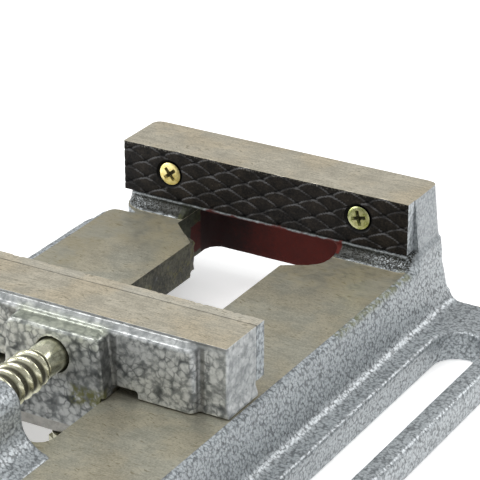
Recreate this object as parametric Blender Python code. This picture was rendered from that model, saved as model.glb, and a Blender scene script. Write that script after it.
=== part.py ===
"""Drill press vise with a 100 mm jaw, built as its separate pieces.

X runs along the jaw, Y along the lead screw towards the fixed jaw, and Z is up. Pieces are drawn in
the vise's own frame: x = 0 in the middle of the jaw, y = 0 on the face of the fixed jaw plate, z = 0
on the machined ways. The empty named vise then sets the whole assembly down with its box centred over
the origin and its feet at z = 0. The base is not symmetric: the right flange is wide and slotted for a
bolt, the left one is narrow and plain. All lengths are in metres.
"""

import math

import bmesh
import bpy
from mathutils import Vector

# Fits
GAP = 0.0003  # between pieces that touch
SLIDE_GAP = 0.0004  # between the tongue and the sides of its slot
HOLE_GAP = 0.0003  # round a shaft, pin or bolt in its hole

# Jaws and jaw plates
JAW_WIDTH = 0.100
JAW_TOP = 0.0210  # above the ways
OPENING = 0.086  # between the plates, as it stands
OPENING_FULL = 0.100
OPENING_SHUT = 0.0004
FIXED_JAW_DEPTH = 0.0198  # at the top, plate included
MOVING_JAW_DEPTH = 0.0200
PLATE_THICK = 0.0041
PLATE_FOOT = 0.0045  # above the ways
PLATE_EDGE = 0.0004
SERRATION_PITCH = 0.012  # along the jaw
SERRATION_RISE = 0.0056
SERRATION_DEPTH = 0.00045
SERRATION_HALF = 0.0006

# Plate screws
PLATE_SCREW_INSET = 0.0167  # from the plate's ends
PLATE_SCREW_HEIGHT = 0.0129
PLATE_SCREW_D = 0.0040
PLATE_SCREW_HEAD_D = 0.0078
PLATE_SCREW_HEAD = 0.0020
PLATE_SCREW_REACH = 0.0080  # into the casting
SINK_D = 0.0096
SINK_DEPTH = 0.0005  # from the plate's face to the screw's head

# Bed
SLOT_WIDTH = 0.0314
WAY_MARGIN = 0.0008  # the ways' width past the jaw's end
BED_THICK = 0.0120
BASE_HEIGHT = 0.0260
WALL_THICK = 0.0060
WALL_DRAFT = 0.0027
SHOULDER = 0.0020  # cast edge left outside the machined ways
SHOULDER_DROP = 0.0013
SHOULDER_BREAK = 0.7  # share of the shoulder's width where its slope changes
ROOT_FILLET = 0.0040
CEILING_FILLET = 0.0030
CLIP_LENGTH = 0.0103  # of the slot's widened end
CLIP_BULGE = 0.8  # of its round side, as a share of that length
CLIP_DEGREES = 60  # of arc on its round side
WAY_END = 0.0062  # from the plate's face forward to the foot of the fixed jaw
WAY_CORNER = 0.0025

# Flanges and the bolt slot
FLANGE_RIGHT = 0.0853  # out from the middle of the jaw
FLANGE_LEFT = 0.0752
FLANGE_THICK = 0.0090
FLANGE_EDGE = 0.0020
FLANGE_SLOT_WIDTH = 0.0158
FLANGE_BAR = 0.0064  # outside the slot
FLANGE_END_BAR = 0.0187  # past each end of the slot
FLANGE_SETBACK = 0.0140  # of the flanges from the bed's front
FLANGE_CORNER = 0.0110
SLOT_LIP = 0.0010
LIP_BREAK = 0.3  # share of the lip's depth where its slope changes
LIP_OVER = 0.2  # share of it that the cutter runs on above the flange

# Foot and upright of the fixed jaw
FOOT_SIDE = 0.0034  # past the jaw's right end
FOOT_CORNER = 0.0056
FOOT_TOE_CORNER = 0.0110  # on the left, where the foot meets the way
FOOT_STEP = 0.0005
LEDGE_FRONT = 0.0003
FLARE_DEGREES = (30, 50, 70, 90)  # rings of the foot's hollow flare
BACK_DRAFT = 0.0004
SIDE_DRAFT = 0.0024  # of the upright's right end
UPRIGHT_CORNER = 0.0025
POCKET_HALF = 0.0266
POCKET_TOP = 0.0032
POCKET_DEPTH = 0.0150
POCKET_CORNER = 0.0040
POCKET_ROOF_CORNER = 0.0013
POCKET_RIM = 0.0040  # how far its walls hang below the bed
POCKET_WALL = 0.0055
SLOT_CUT_TOP = 0.0015  # of the slot's cutter above the ways, where it opens into the pocket

# Moving jaw
BOSS_LENGTH = 0.0080  # in front of the jaw's machined edge
BOSS_HALF = 0.0150
BOSS_FOOT_HALF = 0.0164
BOSS_TOP = 0.0181
BOSS_CORNER = 0.0025
BOSS_UNDERSIDE = 0.0014  # above the tongue's
PAD_HALF = 0.0415
PAD_PROUD = 0.0027
PAD_TOP = 0.0204
PAD_CORNER = 0.8  # share of PAD_PROUD
PAD_EDGE = ((0.75, 0), (0.5, 0.22), (0.3, 0.66), (0.08, 0.76), (0, 0.92))  # down and back, also shares
JAW_FLARE = 0.0007
JAW_FLARE_FOOT = 0.0012  # up to which the block has its full width
JAW_FLARE_RISE = 0.0021  # over which the flare fades out
RELIEF_WIDTH = 0.0088
RELIEF_HEIGHT = 0.0025
RELIEF_CORNER = 0.0010
TONGUE_REACH = 0.0041  # of the tongue's body up inside the jaw
TAIL_LENGTH = 0.0130  # of the tongue past the plate's face
TAIL_DROP = 0.0010  # below the ways
TAIL_CORNER = 0.0030

# Keeper plate and its bolts
KEEPER_WIDTH = 0.0520
KEEPER_LENGTH = 0.0350
KEEPER_THICK = 0.0050
KEEPER_CORNER = 0.0030
BOLT_D = 0.0080
BOLT_HEAD_ACROSS = 0.0130
BOLT_HEAD = 0.0053
BOLT_SPACING = 0.0240
BOLT_REACH = 0.0090  # into the tongue
BOLT_FROM_TAIL = 0.0070
CROWN_FLAT = 0.87  # radius of the head's flat end, as a share of the one over its corners
CROWN_RISE = 0.08  # height of the chamfer round it, in the same share
CROWN_CLEAR = 1.01  # radius that clears the corners
WASHER_D = 0.0130
WASHER_THICK = 0.0018
WASHER_SPLIT_DEGREES = 14

# Lead screw, its nose and the pins that hold it
AXIS_HEIGHT = 0.0099  # above the ways
THREAD_D = 0.0119
THREAD_PITCH = 0.0040
THREAD_FROM_BOSS = 0.0070
NOSE_D = 0.0098
NOSE_HOLE_GAP = 0.0006
NOSE_DEPTH = 0.0190
NOSE_GROOVE_D = 0.0070
NOSE_GROOVE_LENGTH = 0.0042
NOSE_GROOVE_FROM_TIP = 0.0030
PIN_D = 0.0034
PIN_TOP = 0.0050  # above the screw's axis
PIN_CHAMFER = 0.0005
HEAD_D = 0.0180
HEAD_LENGTH = 0.0220
HEAD_ROOM = 0.0040  # left before the nut with the jaw shut
END_CHAMFER = 0.0012

# Nut boss on the front bridge
NUT_ROOM = 0.0170  # left before the nut with the jaw fully open
NUT_LENGTH = 0.0180
NUT_HALF = 0.0125
NUT_TOP = 0.0190
NUT_CORNER = 0.0065
NUT_FOOT_HALF = 0.0240
NUT_FOOT_HEIGHT = 0.0085
NUT_FACE_R = 0.0100
NUT_FACE_PROUD = 0.0040
BED_PAST_NUT = 0.0020
BAR_HEIGHT = 0.0060  # of the cross bar under the bed

# Tommy bar
BAR_D = 0.0070
BAR_LENGTH = 0.0920
BAR_CHAMFER = 0.0009
KNOB_D = 0.0130
KNOB_DEPTH = 0.0070  # of the bar in its knob
KNOB_RINGS = 9
KNOB_TIP_DEGREES = 8  # of the small flat at its tip

# Sides of round pieces
ROUND = 32
ROUND_BOLT = 24
ROUND_BAR = 20
ROUND_PIN = 16

SAME_PLACE = 1e-9  # points closer together than this are one

# Sizes that follow from those above
HALF_JAW = JAW_WIDTH / 2
PLATE_SCREW_X = HALF_JAW - PLATE_SCREW_INSET
HALF_SLOT = SLOT_WIDTH / 2
HALF_WAY = HALF_JAW + WAY_MARGIN
FLANGE_TOP = FLANGE_THICK - BASE_HEIGHT
WALL_FOOT = HALF_WAY + SHOULDER + WALL_DRAFT
BACK_Y = FIXED_JAW_DEPTH + BACK_DRAFT
FIXED_SEAT_Y = PLATE_THICK + GAP
MOVING_FACE_Y = -OPENING
MOVING_SEAT_Y = MOVING_FACE_Y - PLATE_THICK - GAP
MOVING_FRONT_Y = MOVING_FACE_Y - MOVING_JAW_DEPTH
BOSS_Y = MOVING_FRONT_Y - BOSS_LENGTH
BOSS_RIM = BOSS_CORNER / 3
NUT_BACK_Y = BOSS_Y - (OPENING_FULL - OPENING) - NUT_ROOM
NUT_FRONT_Y = NUT_BACK_Y - NUT_LENGTH
NUT_FACE_Y = NUT_FRONT_Y - NUT_FACE_PROUD
BED_FRONT_Y = NUT_FRONT_Y - BED_PAST_NUT
FLANGE_FRONT_Y = BED_FRONT_Y + FLANGE_SETBACK
FLANGE_SLOT_X = FLANGE_RIGHT - FLANGE_BAR - FLANGE_SLOT_WIDTH / 2
HALF_TONGUE = HALF_SLOT - SLIDE_GAP
TONGUE_Z = -BED_THICK
TAIL_Y = MOVING_FACE_Y + TAIL_LENGTH
KEEPER_Z = TONGUE_Z - GAP
KEEPER_BACK_Y = TAIL_Y - 2 * GAP
WASHER_Z = KEEPER_Z - KEEPER_THICK - GAP
BOLT_HEAD_Z = WASHER_Z - WASHER_THICK - GAP
BOLT_YS = (TAIL_Y - BOLT_FROM_TAIL, TAIL_Y - BOLT_FROM_TAIL - BOLT_SPACING)
NOSE_TIP_Y = BOSS_Y + NOSE_DEPTH
GROOVE_Y = NOSE_TIP_Y - NOSE_GROOVE_FROM_TIP
PIN_Y = GROOVE_Y
PIN_X = (NOSE_GROOVE_D + PIN_D) / 2 + HOLE_GAP
THREAD_Y = BOSS_Y - THREAD_FROM_BOSS
HEAD_Y = NUT_FACE_Y - (OPENING - OPENING_SHUT) - HEAD_ROOM
TIP_Y = HEAD_Y - HEAD_LENGTH
TOMMY_Y = HEAD_Y - HEAD_LENGTH / 2
CENTRE_X = (FLANGE_RIGHT - FLANGE_LEFT) / 2
CENTRE_Y = (BACK_Y + TIP_Y) / 2


# Outlines and meshes


def arc(centre, radii, start, end, steps):
    """Points of an elliptic arc, both ends included, with angles in degrees."""
    radius_a, radius_b = radii if isinstance(radii, tuple) else (radii, radii)
    points = []
    for i in range(steps + 1):
        angle = math.radians(start + (end - start) * i / steps)
        points.append((centre[0] + radius_a * math.cos(angle), centre[1] + radius_b * math.sin(angle)))
    return points


def rounded_box(left, right, front, back, corners, steps=4):
    """Plan outline, counter-clockwise, with its corners' radii in the same order from the front right."""
    front_right, back_right, back_left, front_left = corners
    points = arc((right - front_right, front + front_right), front_right, -90, 0, steps)
    points += arc((right - back_right, back - back_right), back_right, 0, 90, steps)
    points += arc((left + back_left, back - back_left), back_left, 90, 180, steps)
    points += arc((left + front_left, front + front_left), front_left, 180, 270, steps)
    return points


def rounded_rectangle(half_width, front, back, front_corner, back_corner, steps=4):
    """Plan outline that is the same on both sides."""
    corners = (front_corner, back_corner, back_corner, front_corner)
    return rounded_box(-half_width, half_width, front, back, corners, steps)


def joined(right, left):
    """Closes a right half outline with the mirror image of another, drawn as if on the right too."""
    return right + [(-a, b) for a, b in reversed(left) if abs(a) > SAME_PLACE]


def mirrored(half):
    """Closes a half outline that runs from one end of the mirror line to the other."""
    return joined(half, half)


def placed(point, along, axis):
    """A point of an outline, set at a distance along the axis that the outline is drawn across."""
    a, b = point
    return {"X": (along, a, b), "Y": (a, along, b), "Z": (a, b, along)}[axis]


def loft(rings):
    """Closed solid through rings of equally many points, with a flat cap at each end."""
    bm = bmesh.new()
    loops = [[bm.verts.new(point) for point in ring] for ring in rings]
    for low, high in zip(loops, loops[1:]):
        for i in range(len(low)):
            j = (i + 1) % len(low)
            bm.faces.new((low[i], low[j], high[j], high[i]))
    bm.faces.new(list(reversed(loops[0])))
    bm.faces.new(loops[-1])
    bmesh.ops.recalc_face_normals(bm, faces=bm.faces)
    return bm


def prism(outline, axis, start, end, rim=0.0):
    """Solid of an outline drawn across an axis, with the edges of both ends rounded by rim."""
    bm = loft([[placed(p, along, axis) for p in outline] for along in (start, end)])
    if rim:
        index = "XYZ".index(axis)
        edges = [e for e in bm.edges if abs(e.verts[0].co[index] - e.verts[1].co[index]) < SAME_PLACE]
        bmesh.ops.bevel(bm, geom=edges, offset=rim, segments=2, profile=0.5, affect="EDGES")
    return bm


def turned(profile, axis, centre, sides=ROUND):
    """Solid of revolution. The profile is (distance along the axis, radius), from one end to the other."""
    rings = []
    for along, radius in profile:
        outline = arc((0, 0), radius, 0, 360, sides)[:-1]
        rings.append([Vector(placed(p, along, axis)) + Vector(centre) for p in outline])
    return loft(rings)


def chamfered(start, end, radius, chamfer):
    """Profile of a round bar with both of its ends chamfered."""
    small = radius - chamfer
    return ((start, small), (start + chamfer, radius), (end - chamfer, radius), (end, small))


def drilled(start, length, diameter, axis, centre, sides=ROUND_BOLT):
    """Plain round cutter."""
    return turned(((start, diameter / 2), (start + length, diameter / 2)), axis, centre, sides)


# Objects


def clear_scene():
    for obj in list(bpy.data.objects):
        bpy.data.objects.remove(obj)


def finish(name, colour, roughness, metallic):
    """Material of one finish."""
    material = bpy.data.materials.new(name)
    material.use_nodes = True
    shader = material.node_tree.nodes["Principled BSDF"]
    shader.inputs["Base Color"].default_value = (*colour, 1)
    shader.inputs["Roughness"].default_value = roughness
    shader.inputs["Metallic"].default_value = metallic
    material.diffuse_color = (*colour, 1)
    return material


def carrier(name, place, parent=None):
    """Empty that carries the pieces of one body. Its place is in the vise's frame."""
    empty = bpy.data.objects.new(name, None)
    empty.empty_display_size = 0.02
    bpy.context.collection.objects.link(empty)
    empty["place"] = place
    empty.parent = parent
    ground = (CENTRE_X, CENTRE_Y, -BASE_HEIGHT)
    empty.location = Vector(place) - Vector(parent["place"] if parent else ground)
    return empty


def piece(name, bm, body, material=None):
    """Object of a mesh drawn in the vise's frame, with its origin on its carrier."""
    bmesh.ops.translate(bm, verts=bm.verts, vec=-Vector(body["place"]))
    mesh = bpy.data.meshes.new(name)
    bm.to_mesh(mesh)
    bm.free()
    obj = bpy.data.objects.new(name, mesh)
    bpy.context.collection.objects.link(obj)
    obj.parent = body
    if material:
        mesh.materials.append(material)
    return obj


def combine(obj, operation, meshes):
    """Joins meshes to an object, cuts them from it or keeps what they share, one after the other."""
    helpers = []
    for i, bm in enumerate(meshes):
        helper = piece(f"{obj.name}_{operation.lower()}_{i}", bm, obj.parent)
        helper.hide_render = True
        helper.display_type = "WIRE"
        modifier = obj.modifiers.new(helper.name, "BOOLEAN")
        modifier.operation = operation
        modifier.solver = "EXACT"
        modifier.object = helper
        helpers.append(helper)
    bpy.context.view_layer.update()
    graph = bpy.context.evaluated_depsgraph_get()
    result = bpy.data.meshes.new_from_object(obj.evaluated_get(graph))
    obj.modifiers.clear()
    obj.data = result
    for helper in helpers:
        bpy.data.objects.remove(helper)


def shade(obj, degrees=35):
    """Smooth round faces and keep the edges crisp."""
    obj.data.shade_smooth()
    obj.data.set_sharp_from_angle(angle=math.radians(degrees))


# Base casting


def half_profile(reach):
    """Cross-section of the bed, its side wall and its flange on one side, seen along the screw."""
    edge_x = reach - FLANGE_EDGE
    inner_top = WALL_FOOT - WALL_THICK - WALL_DRAFT
    half = [
        (HALF_WAY, 0),
        (HALF_WAY + SHOULDER_BREAK * SHOULDER, (SHOULDER_BREAK - 1) * SHOULDER_DROP),
        (HALF_WAY + SHOULDER, -SHOULDER_DROP),
    ]
    half += arc((WALL_FOOT + ROOT_FILLET, FLANGE_TOP + ROOT_FILLET), ROOT_FILLET, 180, 270, 5)
    half += arc((edge_x, FLANGE_TOP - FLANGE_EDGE), FLANGE_EDGE, 90, 0, 4)
    half += [(reach, -BASE_HEIGHT), (WALL_FOOT - WALL_THICK, -BASE_HEIGHT)]
    half += arc((inner_top - CEILING_FILLET, -BED_THICK - CEILING_FILLET), CEILING_FILLET, 0, 90, 4)
    return half


def half_plan(reach):
    """Plan outline of one side of the base, with the flange set back from the bed's front."""
    neck = WALL_FOOT + ROOT_FILLET
    half = [(0, BACK_Y)]
    half += arc((reach - FLANGE_CORNER, BACK_Y - FLANGE_CORNER), FLANGE_CORNER, 90, 0, 6)
    half += arc((reach - FLANGE_CORNER, FLANGE_FRONT_Y + FLANGE_CORNER), FLANGE_CORNER, 0, -90, 6)
    half += arc((neck + ROOT_FILLET, FLANGE_FRONT_Y - ROOT_FILLET), ROOT_FILLET, 90, 180, 4)
    half += arc((neck - FOOT_CORNER, BED_FRONT_Y + FOOT_CORNER), FOOT_CORNER, 0, -90, 4)
    half += [(0, BED_FRONT_Y)]
    return half


def way_end_notch():
    """Cutter for the bed's back left corner, where the way ends short and the foot goes on down."""
    outer = -WALL_FOOT - ROOT_FILLET
    toe_x = -HALF_JAW + FOOT_TOE_CORNER
    side_x = -HALF_JAW + GAP
    corner = (WAY_CORNER - HALF_WAY, -WAY_END - WAY_CORNER)
    outline = [(outer, corner[1])] + arc(corner, WAY_CORNER, 180, 90, 4)
    outline += [(toe_x, -WAY_END), (toe_x, 0)]
    outline += [(side_x, FOOT_TOE_CORNER), (side_x, BACK_Y + GAP), (outer, BACK_Y + GAP)]
    return prism(outline, "Z", -BED_THICK + 2 * GAP, PLATE_FOOT)


def wall_corner():
    """Cutter that rounds the right wall's corner at the back, in line with the fixed jaw above it."""
    radius = UPRIGHT_CORNER
    top_x = HALF_WAY + SHOULDER
    rings = []
    for z, x in ((FLANGE_TOP + ROOT_FILLET, WALL_FOOT), (-SHOULDER_DROP, top_x), (0, top_x)):
        outline = [(x + 2 * GAP, BACK_Y - radius), (x + 2 * GAP, BACK_Y + GAP), (x - radius, BACK_Y + GAP)]
        outline += arc((x - radius, BACK_Y - radius), radius, 90, 0, 4)
        rings.append([(a, b, z) for a, b in outline])
    return loft(rings)


def foot_rings():
    """Rings of the fixed jaw's foot: a hollow flare from the ways to the ledge under the plate."""
    ledge_top = PLATE_FOOT - GAP
    flare_top = ledge_top - 2 * GAP
    side = HALF_JAW + FOOT_SIDE
    levels = [
        (-BED_THICK + GAP, -WAY_END, side - GAP, FOOT_TOE_CORNER),
        (-GAP, -WAY_END, side, FOOT_TOE_CORNER),
    ]
    for degrees in FLARE_DEGREES:
        angle = math.radians(degrees)
        y = -WAY_END + (WAY_END + LEDGE_FRONT) * math.sin(angle)
        left_corner = FOOT_TOE_CORNER + (FOOT_CORNER - FOOT_TOE_CORNER) * math.sin(angle)
        levels.append((flare_top * (1 - math.cos(angle)), y, side - FOOT_STEP * math.sin(angle), left_corner))
    levels.append((ledge_top, LEDGE_FRONT + GAP, side - 2 * FOOT_STEP, FOOT_CORNER))
    rings = []
    for z, front, right, left_corner in levels:
        corners = (FOOT_CORNER, UPRIGHT_CORNER, UPRIGHT_CORNER, left_corner)
        outline = rounded_box(-HALF_JAW, right, front, BACK_Y - GAP / 3, corners)
        rings.append([(x, y, z) for x, y in outline])
    return rings


def upright_rings():
    """Rings of the fixed jaw's upright, which spreads a little downwards at the back and on the right."""
    rings = []
    for z, spread, back in ((0, SIDE_DRAFT, BACK_Y - GAP / 2), (JAW_TOP, GAP, FIXED_JAW_DEPTH)):
        corners = (GAP, UPRIGHT_CORNER, UPRIGHT_CORNER, GAP)
        outline = rounded_box(-HALF_JAW, HALF_JAW + spread, FIXED_SEAT_Y, back, corners)
        rings.append([(x, y, z) for x, y in outline])
    return rings


def nut_outline():
    """Nut boss, seen along the screw: round-shouldered, on a foot that flares into the bed."""
    half = [(0, NUT_TOP)]
    half += arc((NUT_HALF - NUT_CORNER, NUT_TOP - NUT_CORNER), NUT_CORNER, 90, 0, 6)
    flare = (NUT_FOOT_HALF - NUT_HALF, NUT_FOOT_HEIGHT)
    half += arc((NUT_FOOT_HALF, NUT_FOOT_HEIGHT), flare, 180, 270, 6)
    half += [(NUT_FOOT_HALF, -BED_THICK / 2), (0, -BED_THICK / 2)]
    return mirrored(half)


def bed_slot_outline():
    """Plan of the slot between the ways, which widens into the pocket, round on the right side only."""
    end_y = NUT_BACK_Y + ROOT_FILLET
    clip_y = -WAY_END + GAP
    side = [(0, end_y)]
    side += arc((HALF_SLOT - ROOT_FILLET, end_y + ROOT_FILLET), ROOT_FILLET, -90, 0, 4)
    side += [(HALF_SLOT, clip_y - CLIP_LENGTH)]
    radii = (POCKET_HALF - HALF_SLOT, CLIP_LENGTH * CLIP_BULGE)
    round_clip = arc((HALF_SLOT, clip_y), radii, -CLIP_DEGREES, 0, 4)
    end = [(POCKET_HALF, 0), (0, 0)]
    return joined(side + round_clip + end, side + [(POCKET_HALF, clip_y)] + end)


def pocket_rings():
    """Cored pocket that lets the tongue run on under the fixed jaw."""
    rings = []
    roof = POCKET_ROOF_CORNER
    for z, inset in ((-BASE_HEIGHT - GAP, 0), (POCKET_TOP - roof, 0), (POCKET_TOP, roof)):
        half, back = POCKET_HALF - inset, POCKET_DEPTH - inset
        outline = rounded_rectangle(half, -WAY_END + GAP, back, GAP, POCKET_CORNER - inset)
        rings.append([(x, y, z) for x, y in outline])
    return rings


def stadium(x, half_width, front, back, steps=8):
    """Plan of a slot with round ends."""
    ahead = arc((x, front + half_width), half_width, 180, 360, steps)
    return ahead + arc((x, back - half_width), half_width, 0, 180, steps)


def flange_slot():
    """Bolt slot of the right flange, with a rounded lip at the top."""
    front = FLANGE_FRONT_Y + FLANGE_END_BAR
    back = BACK_Y - FLANGE_END_BAR
    rings = []
    levels = (
        (-BASE_HEIGHT - SLOT_LIP, 0),
        (FLANGE_TOP - SLOT_LIP, 0),
        (FLANGE_TOP - SLOT_LIP * LIP_BREAK, SLOT_LIP * LIP_BREAK),
        (FLANGE_TOP + SLOT_LIP * LIP_OVER, SLOT_LIP * (1 + LIP_OVER)),
    )
    for z, out in levels:
        outline = stadium(FLANGE_SLOT_X, FLANGE_SLOT_WIDTH / 2 + out, front - out, back + out)
        rings.append([(x, y, z) for x, y in outline])
    return loft(rings)


def make_base(body, material):
    profile = joined(half_profile(FLANGE_RIGHT), half_profile(FLANGE_LEFT))
    base = piece("base_casting", prism(profile, "Y", BED_FRONT_Y - GAP, BACK_Y + GAP), body, material)
    plan = joined(half_plan(FLANGE_RIGHT), half_plan(FLANGE_LEFT))
    combine(base, "INTERSECT", [prism(plan, "Z", -BASE_HEIGHT - GAP, JAW_TOP)])
    combine(base, "DIFFERENCE", [way_end_notch(), wall_corner()])
    rim_half = POCKET_HALF + POCKET_WALL
    rim = rounded_rectangle(rim_half, -WAY_END + GAP, BACK_Y - GAP, POCKET_CORNER, POCKET_CORNER)
    inner_half = WALL_FOOT - WALL_THICK + GAP
    bar = rounded_rectangle(inner_half, NUT_FRONT_Y, NUT_BACK_Y - GAP, GAP, GAP)
    face = (
        (NUT_FACE_Y, NUT_FACE_R - END_CHAMFER),
        (NUT_FACE_Y + END_CHAMFER, NUT_FACE_R),
        (NUT_BACK_Y - GAP, NUT_FACE_R),
    )
    combine(base, "UNION", [
        loft(foot_rings()),
        loft(upright_rings()),
        prism(rim, "Z", -BED_THICK - POCKET_RIM, -BED_THICK / 2),
        prism(bar, "Z", -BED_THICK - BAR_HEIGHT, -BED_THICK / 2),
        prism(nut_outline(), "Y", NUT_FRONT_Y, NUT_BACK_Y, rim=END_CHAMFER),
        turned(face, "Y", (0, 0, AXIS_HEIGHT)),
    ])
    bore_d = THREAD_D + 2 * HOLE_GAP
    bore_length = NUT_BACK_Y - NUT_FACE_Y
    cutters = [
        prism(bed_slot_outline(), "Z", -BASE_HEIGHT - GAP, SLOT_CUT_TOP),
        loft(pocket_rings()),
        drilled(NUT_FACE_Y - GAP, bore_length + 2 * GAP, bore_d, "Y", (0, 0, AXIS_HEIGHT), ROUND),
        flange_slot(),
    ]
    cutters += [plate_screw_hole(side, FIXED_SEAT_Y - GAP, 1) for side in (-1, 1)]
    combine(base, "DIFFERENCE", cutters)
    shade(base)


# Jaw plates


def plate_screw_hole(side, seat_y, direction):
    """Hole in a casting behind its plate, for one plate screw."""
    length = direction * (PLATE_SCREW_REACH + 2 * GAP)
    centre = (side * PLATE_SCREW_X, 0, PLATE_SCREW_HEIGHT)
    return drilled(seat_y, length, PLATE_SCREW_D + 2 * HOLE_GAP, "Y", centre, ROUND_PIN)


def countersink(side, face_y, direction):
    """Countersunk hole through a plate, from its face inwards."""
    hole_r = PLATE_SCREW_D / 2 + HOLE_GAP
    steps = (
        (-GAP, SINK_D / 2),
        (SINK_DEPTH, SINK_D / 2),
        (SINK_DEPTH + SINK_D / 2 - hole_r, hole_r),
        (PLATE_THICK + GAP, hole_r),
    )
    profile = [(face_y + direction * along, radius) for along, radius in steps]
    return turned(profile, "Y", (side * PLATE_SCREW_X, 0, PLATE_SCREW_HEIGHT), ROUND_BOLT)


def serrations(face_y, direction, lean):
    """Parallel grooves across a plate's face. Two sets that lean opposite ways leave diamond teeth."""
    height = JAW_TOP - PLATE_FOOT
    slope = SERRATION_RISE / SERRATION_PITCH
    reach = height / slope
    count = math.ceil((HALF_JAW + reach / 2) / SERRATION_PITCH)
    middle = (JAW_TOP + PLATE_FOOT) / 2
    half_x = reach / 2 + SERRATION_PITCH / 2
    out = direction * SERRATION_DEPTH
    half_z = SERRATION_HALF / math.cos(math.atan(slope))
    bm = bmesh.new()
    for i in range(-count, count + 1):
        centre_x = (i + 0.5) * SERRATION_PITCH
        ends = []
        for end in (-1, 1):
            x = centre_x + end * half_x
            z = middle + end * lean * half_x * slope
            ends.append([
                bm.verts.new((x, face_y + out, z)),
                bm.verts.new((x, face_y - out, z + 2 * half_z)),
                bm.verts.new((x, face_y - out, z - 2 * half_z)),
            ])
        low, high = ends
        for a in range(3):
            b = (a + 1) % 3
            bm.faces.new((low[a], low[b], high[b], high[a]))
        bm.faces.new(low[::-1])
        bm.faces.new(high)
    bmesh.ops.recalc_face_normals(bm, faces=bm.faces)
    return bm


def make_plate(name, body, face_y, direction, material):
    """Jaw plate. Direction is the way from its serrated face into the casting, along Y."""
    seat_y = face_y + direction * PLATE_THICK
    low_y, high_y = sorted((face_y, seat_y))
    outline = rounded_rectangle(HALF_JAW, low_y, high_y, PLATE_EDGE, PLATE_EDGE, 2)
    plate = piece(name, prism(outline, "Z", PLATE_FOOT, JAW_TOP), body, material)
    cutters = [countersink(side, face_y, direction) for side in (-1, 1)]
    cutters += [serrations(face_y, direction, lean) for lean in (-1, 1)]
    combine(plate, "DIFFERENCE", cutters)
    shade(plate, degrees=20)


def make_plate_screw(name, body, side, face_y, direction, material):
    """Countersunk screw, sunk a little below the plate's face."""
    shank_r = PLATE_SCREW_D / 2
    head_r = PLATE_SCREW_HEAD_D / 2
    reach = PLATE_THICK + PLATE_SCREW_REACH
    edge = PLATE_SCREW_HEAD - (head_r - shank_r)
    steps = (
        (SINK_DEPTH, head_r),
        (SINK_DEPTH + edge, head_r),
        (SINK_DEPTH + PLATE_SCREW_HEAD, shank_r),
        (reach - shank_r / 2, shank_r),
        (reach, shank_r / 2),
    )
    profile = [(face_y + direction * along, radius) for along, radius in steps]
    bm = turned(profile, "Y", (side * PLATE_SCREW_X, 0, PLATE_SCREW_HEIGHT), ROUND_BAR)
    shade(piece(name, bm, body, material))


# Moving jaw


def jaw_block_rings():
    """Block of the moving jaw, which flares a little where it meets the ways."""
    rings = []
    foot, fade = JAW_FLARE_FOOT, JAW_FLARE_FOOT + JAW_FLARE_RISE
    for z, out in ((GAP, JAW_FLARE), (foot, JAW_FLARE), (fade, 0), (JAW_TOP, 0)):
        outline = rounded_rectangle(HALF_JAW + out, MOVING_FRONT_Y - out / 2, MOVING_SEAT_Y, GAP, GAP)
        rings.append([(x, y, z) for x, y in outline])
    return rings


def pad_rings():
    """Raised pad on the jaw's front, with a stepped and rounded top edge."""
    front = MOVING_FRONT_Y - PAD_PROUD
    back = MOVING_FRONT_Y + PAD_PROUD
    levels = [(GAP, front)]
    levels += [(PAD_TOP - down * PAD_PROUD, front + in_ * PAD_PROUD) for down, in_ in PAD_EDGE]
    rings = []
    for z, pad_y in levels:
        half = PAD_HALF - (pad_y - front) / 2
        outline = rounded_rectangle(half, pad_y, back, PAD_CORNER * PAD_PROUD, GAP)
        rings.append([(x, y, z) for x, y in outline])
    return rings


def boss_outline():
    """Boss round the screw's nose, seen along the screw."""
    half = [(0, BOSS_TOP)]
    half += arc((BOSS_HALF - BOSS_CORNER, BOSS_TOP - BOSS_CORNER), BOSS_CORNER, 90, 0, 4)
    half += [(BOSS_FOOT_HALF, GAP), (0, GAP)]
    return mirrored(half)


def tongue_outline():
    """Side view of the tongue: under the boss, under the jaw, and its tail towards the fixed jaw."""
    nose_z = TONGUE_Z + BOSS_UNDERSIDE
    return [
        (BOSS_Y, nose_z),
        (MOVING_FRONT_Y, nose_z),
        (MOVING_FRONT_Y + BOSS_UNDERSIDE, TONGUE_Z),
        (TAIL_Y, TONGUE_Z),
        (TAIL_Y, -TAIL_DROP),
        (MOVING_SEAT_Y - GAP, -TAIL_DROP),
        (MOVING_SEAT_Y - GAP, TONGUE_REACH),
        (BOSS_Y, TONGUE_REACH),
    ]


def relief(side):
    """Flat-topped groove beside the tongue, which keeps the jaw clear of the slot's edge."""
    middle = side * (HALF_TONGUE - GAP + RELIEF_WIDTH / 2)
    half = RELIEF_WIDTH / 2
    corner_x, corner_z = half - RELIEF_CORNER, RELIEF_HEIGHT - RELIEF_CORNER
    outline = [(middle + half, -GAP)]
    outline += arc((middle + corner_x, corner_z), RELIEF_CORNER, 0, 90, 3)
    outline += arc((middle - corner_x, corner_z), RELIEF_CORNER, 90, 180, 3)
    outline += [(middle - half, -GAP)]
    return prism(outline, "Y", MOVING_FRONT_Y - PAD_PROUD - GAP, MOVING_SEAT_Y + GAP)


def tail_corner(side):
    """Cutter that takes one corner off the tongue's tail, in plan."""
    x = side * (HALF_TONGUE + GAP)
    inner = side * (HALF_TONGUE - TAIL_CORNER)
    y = TAIL_Y + GAP
    outline = [(x, TAIL_Y - TAIL_CORNER), (x, y), (inner, y)]
    return prism(outline, "Z", TONGUE_Z - GAP, -TAIL_DROP + GAP)


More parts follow.
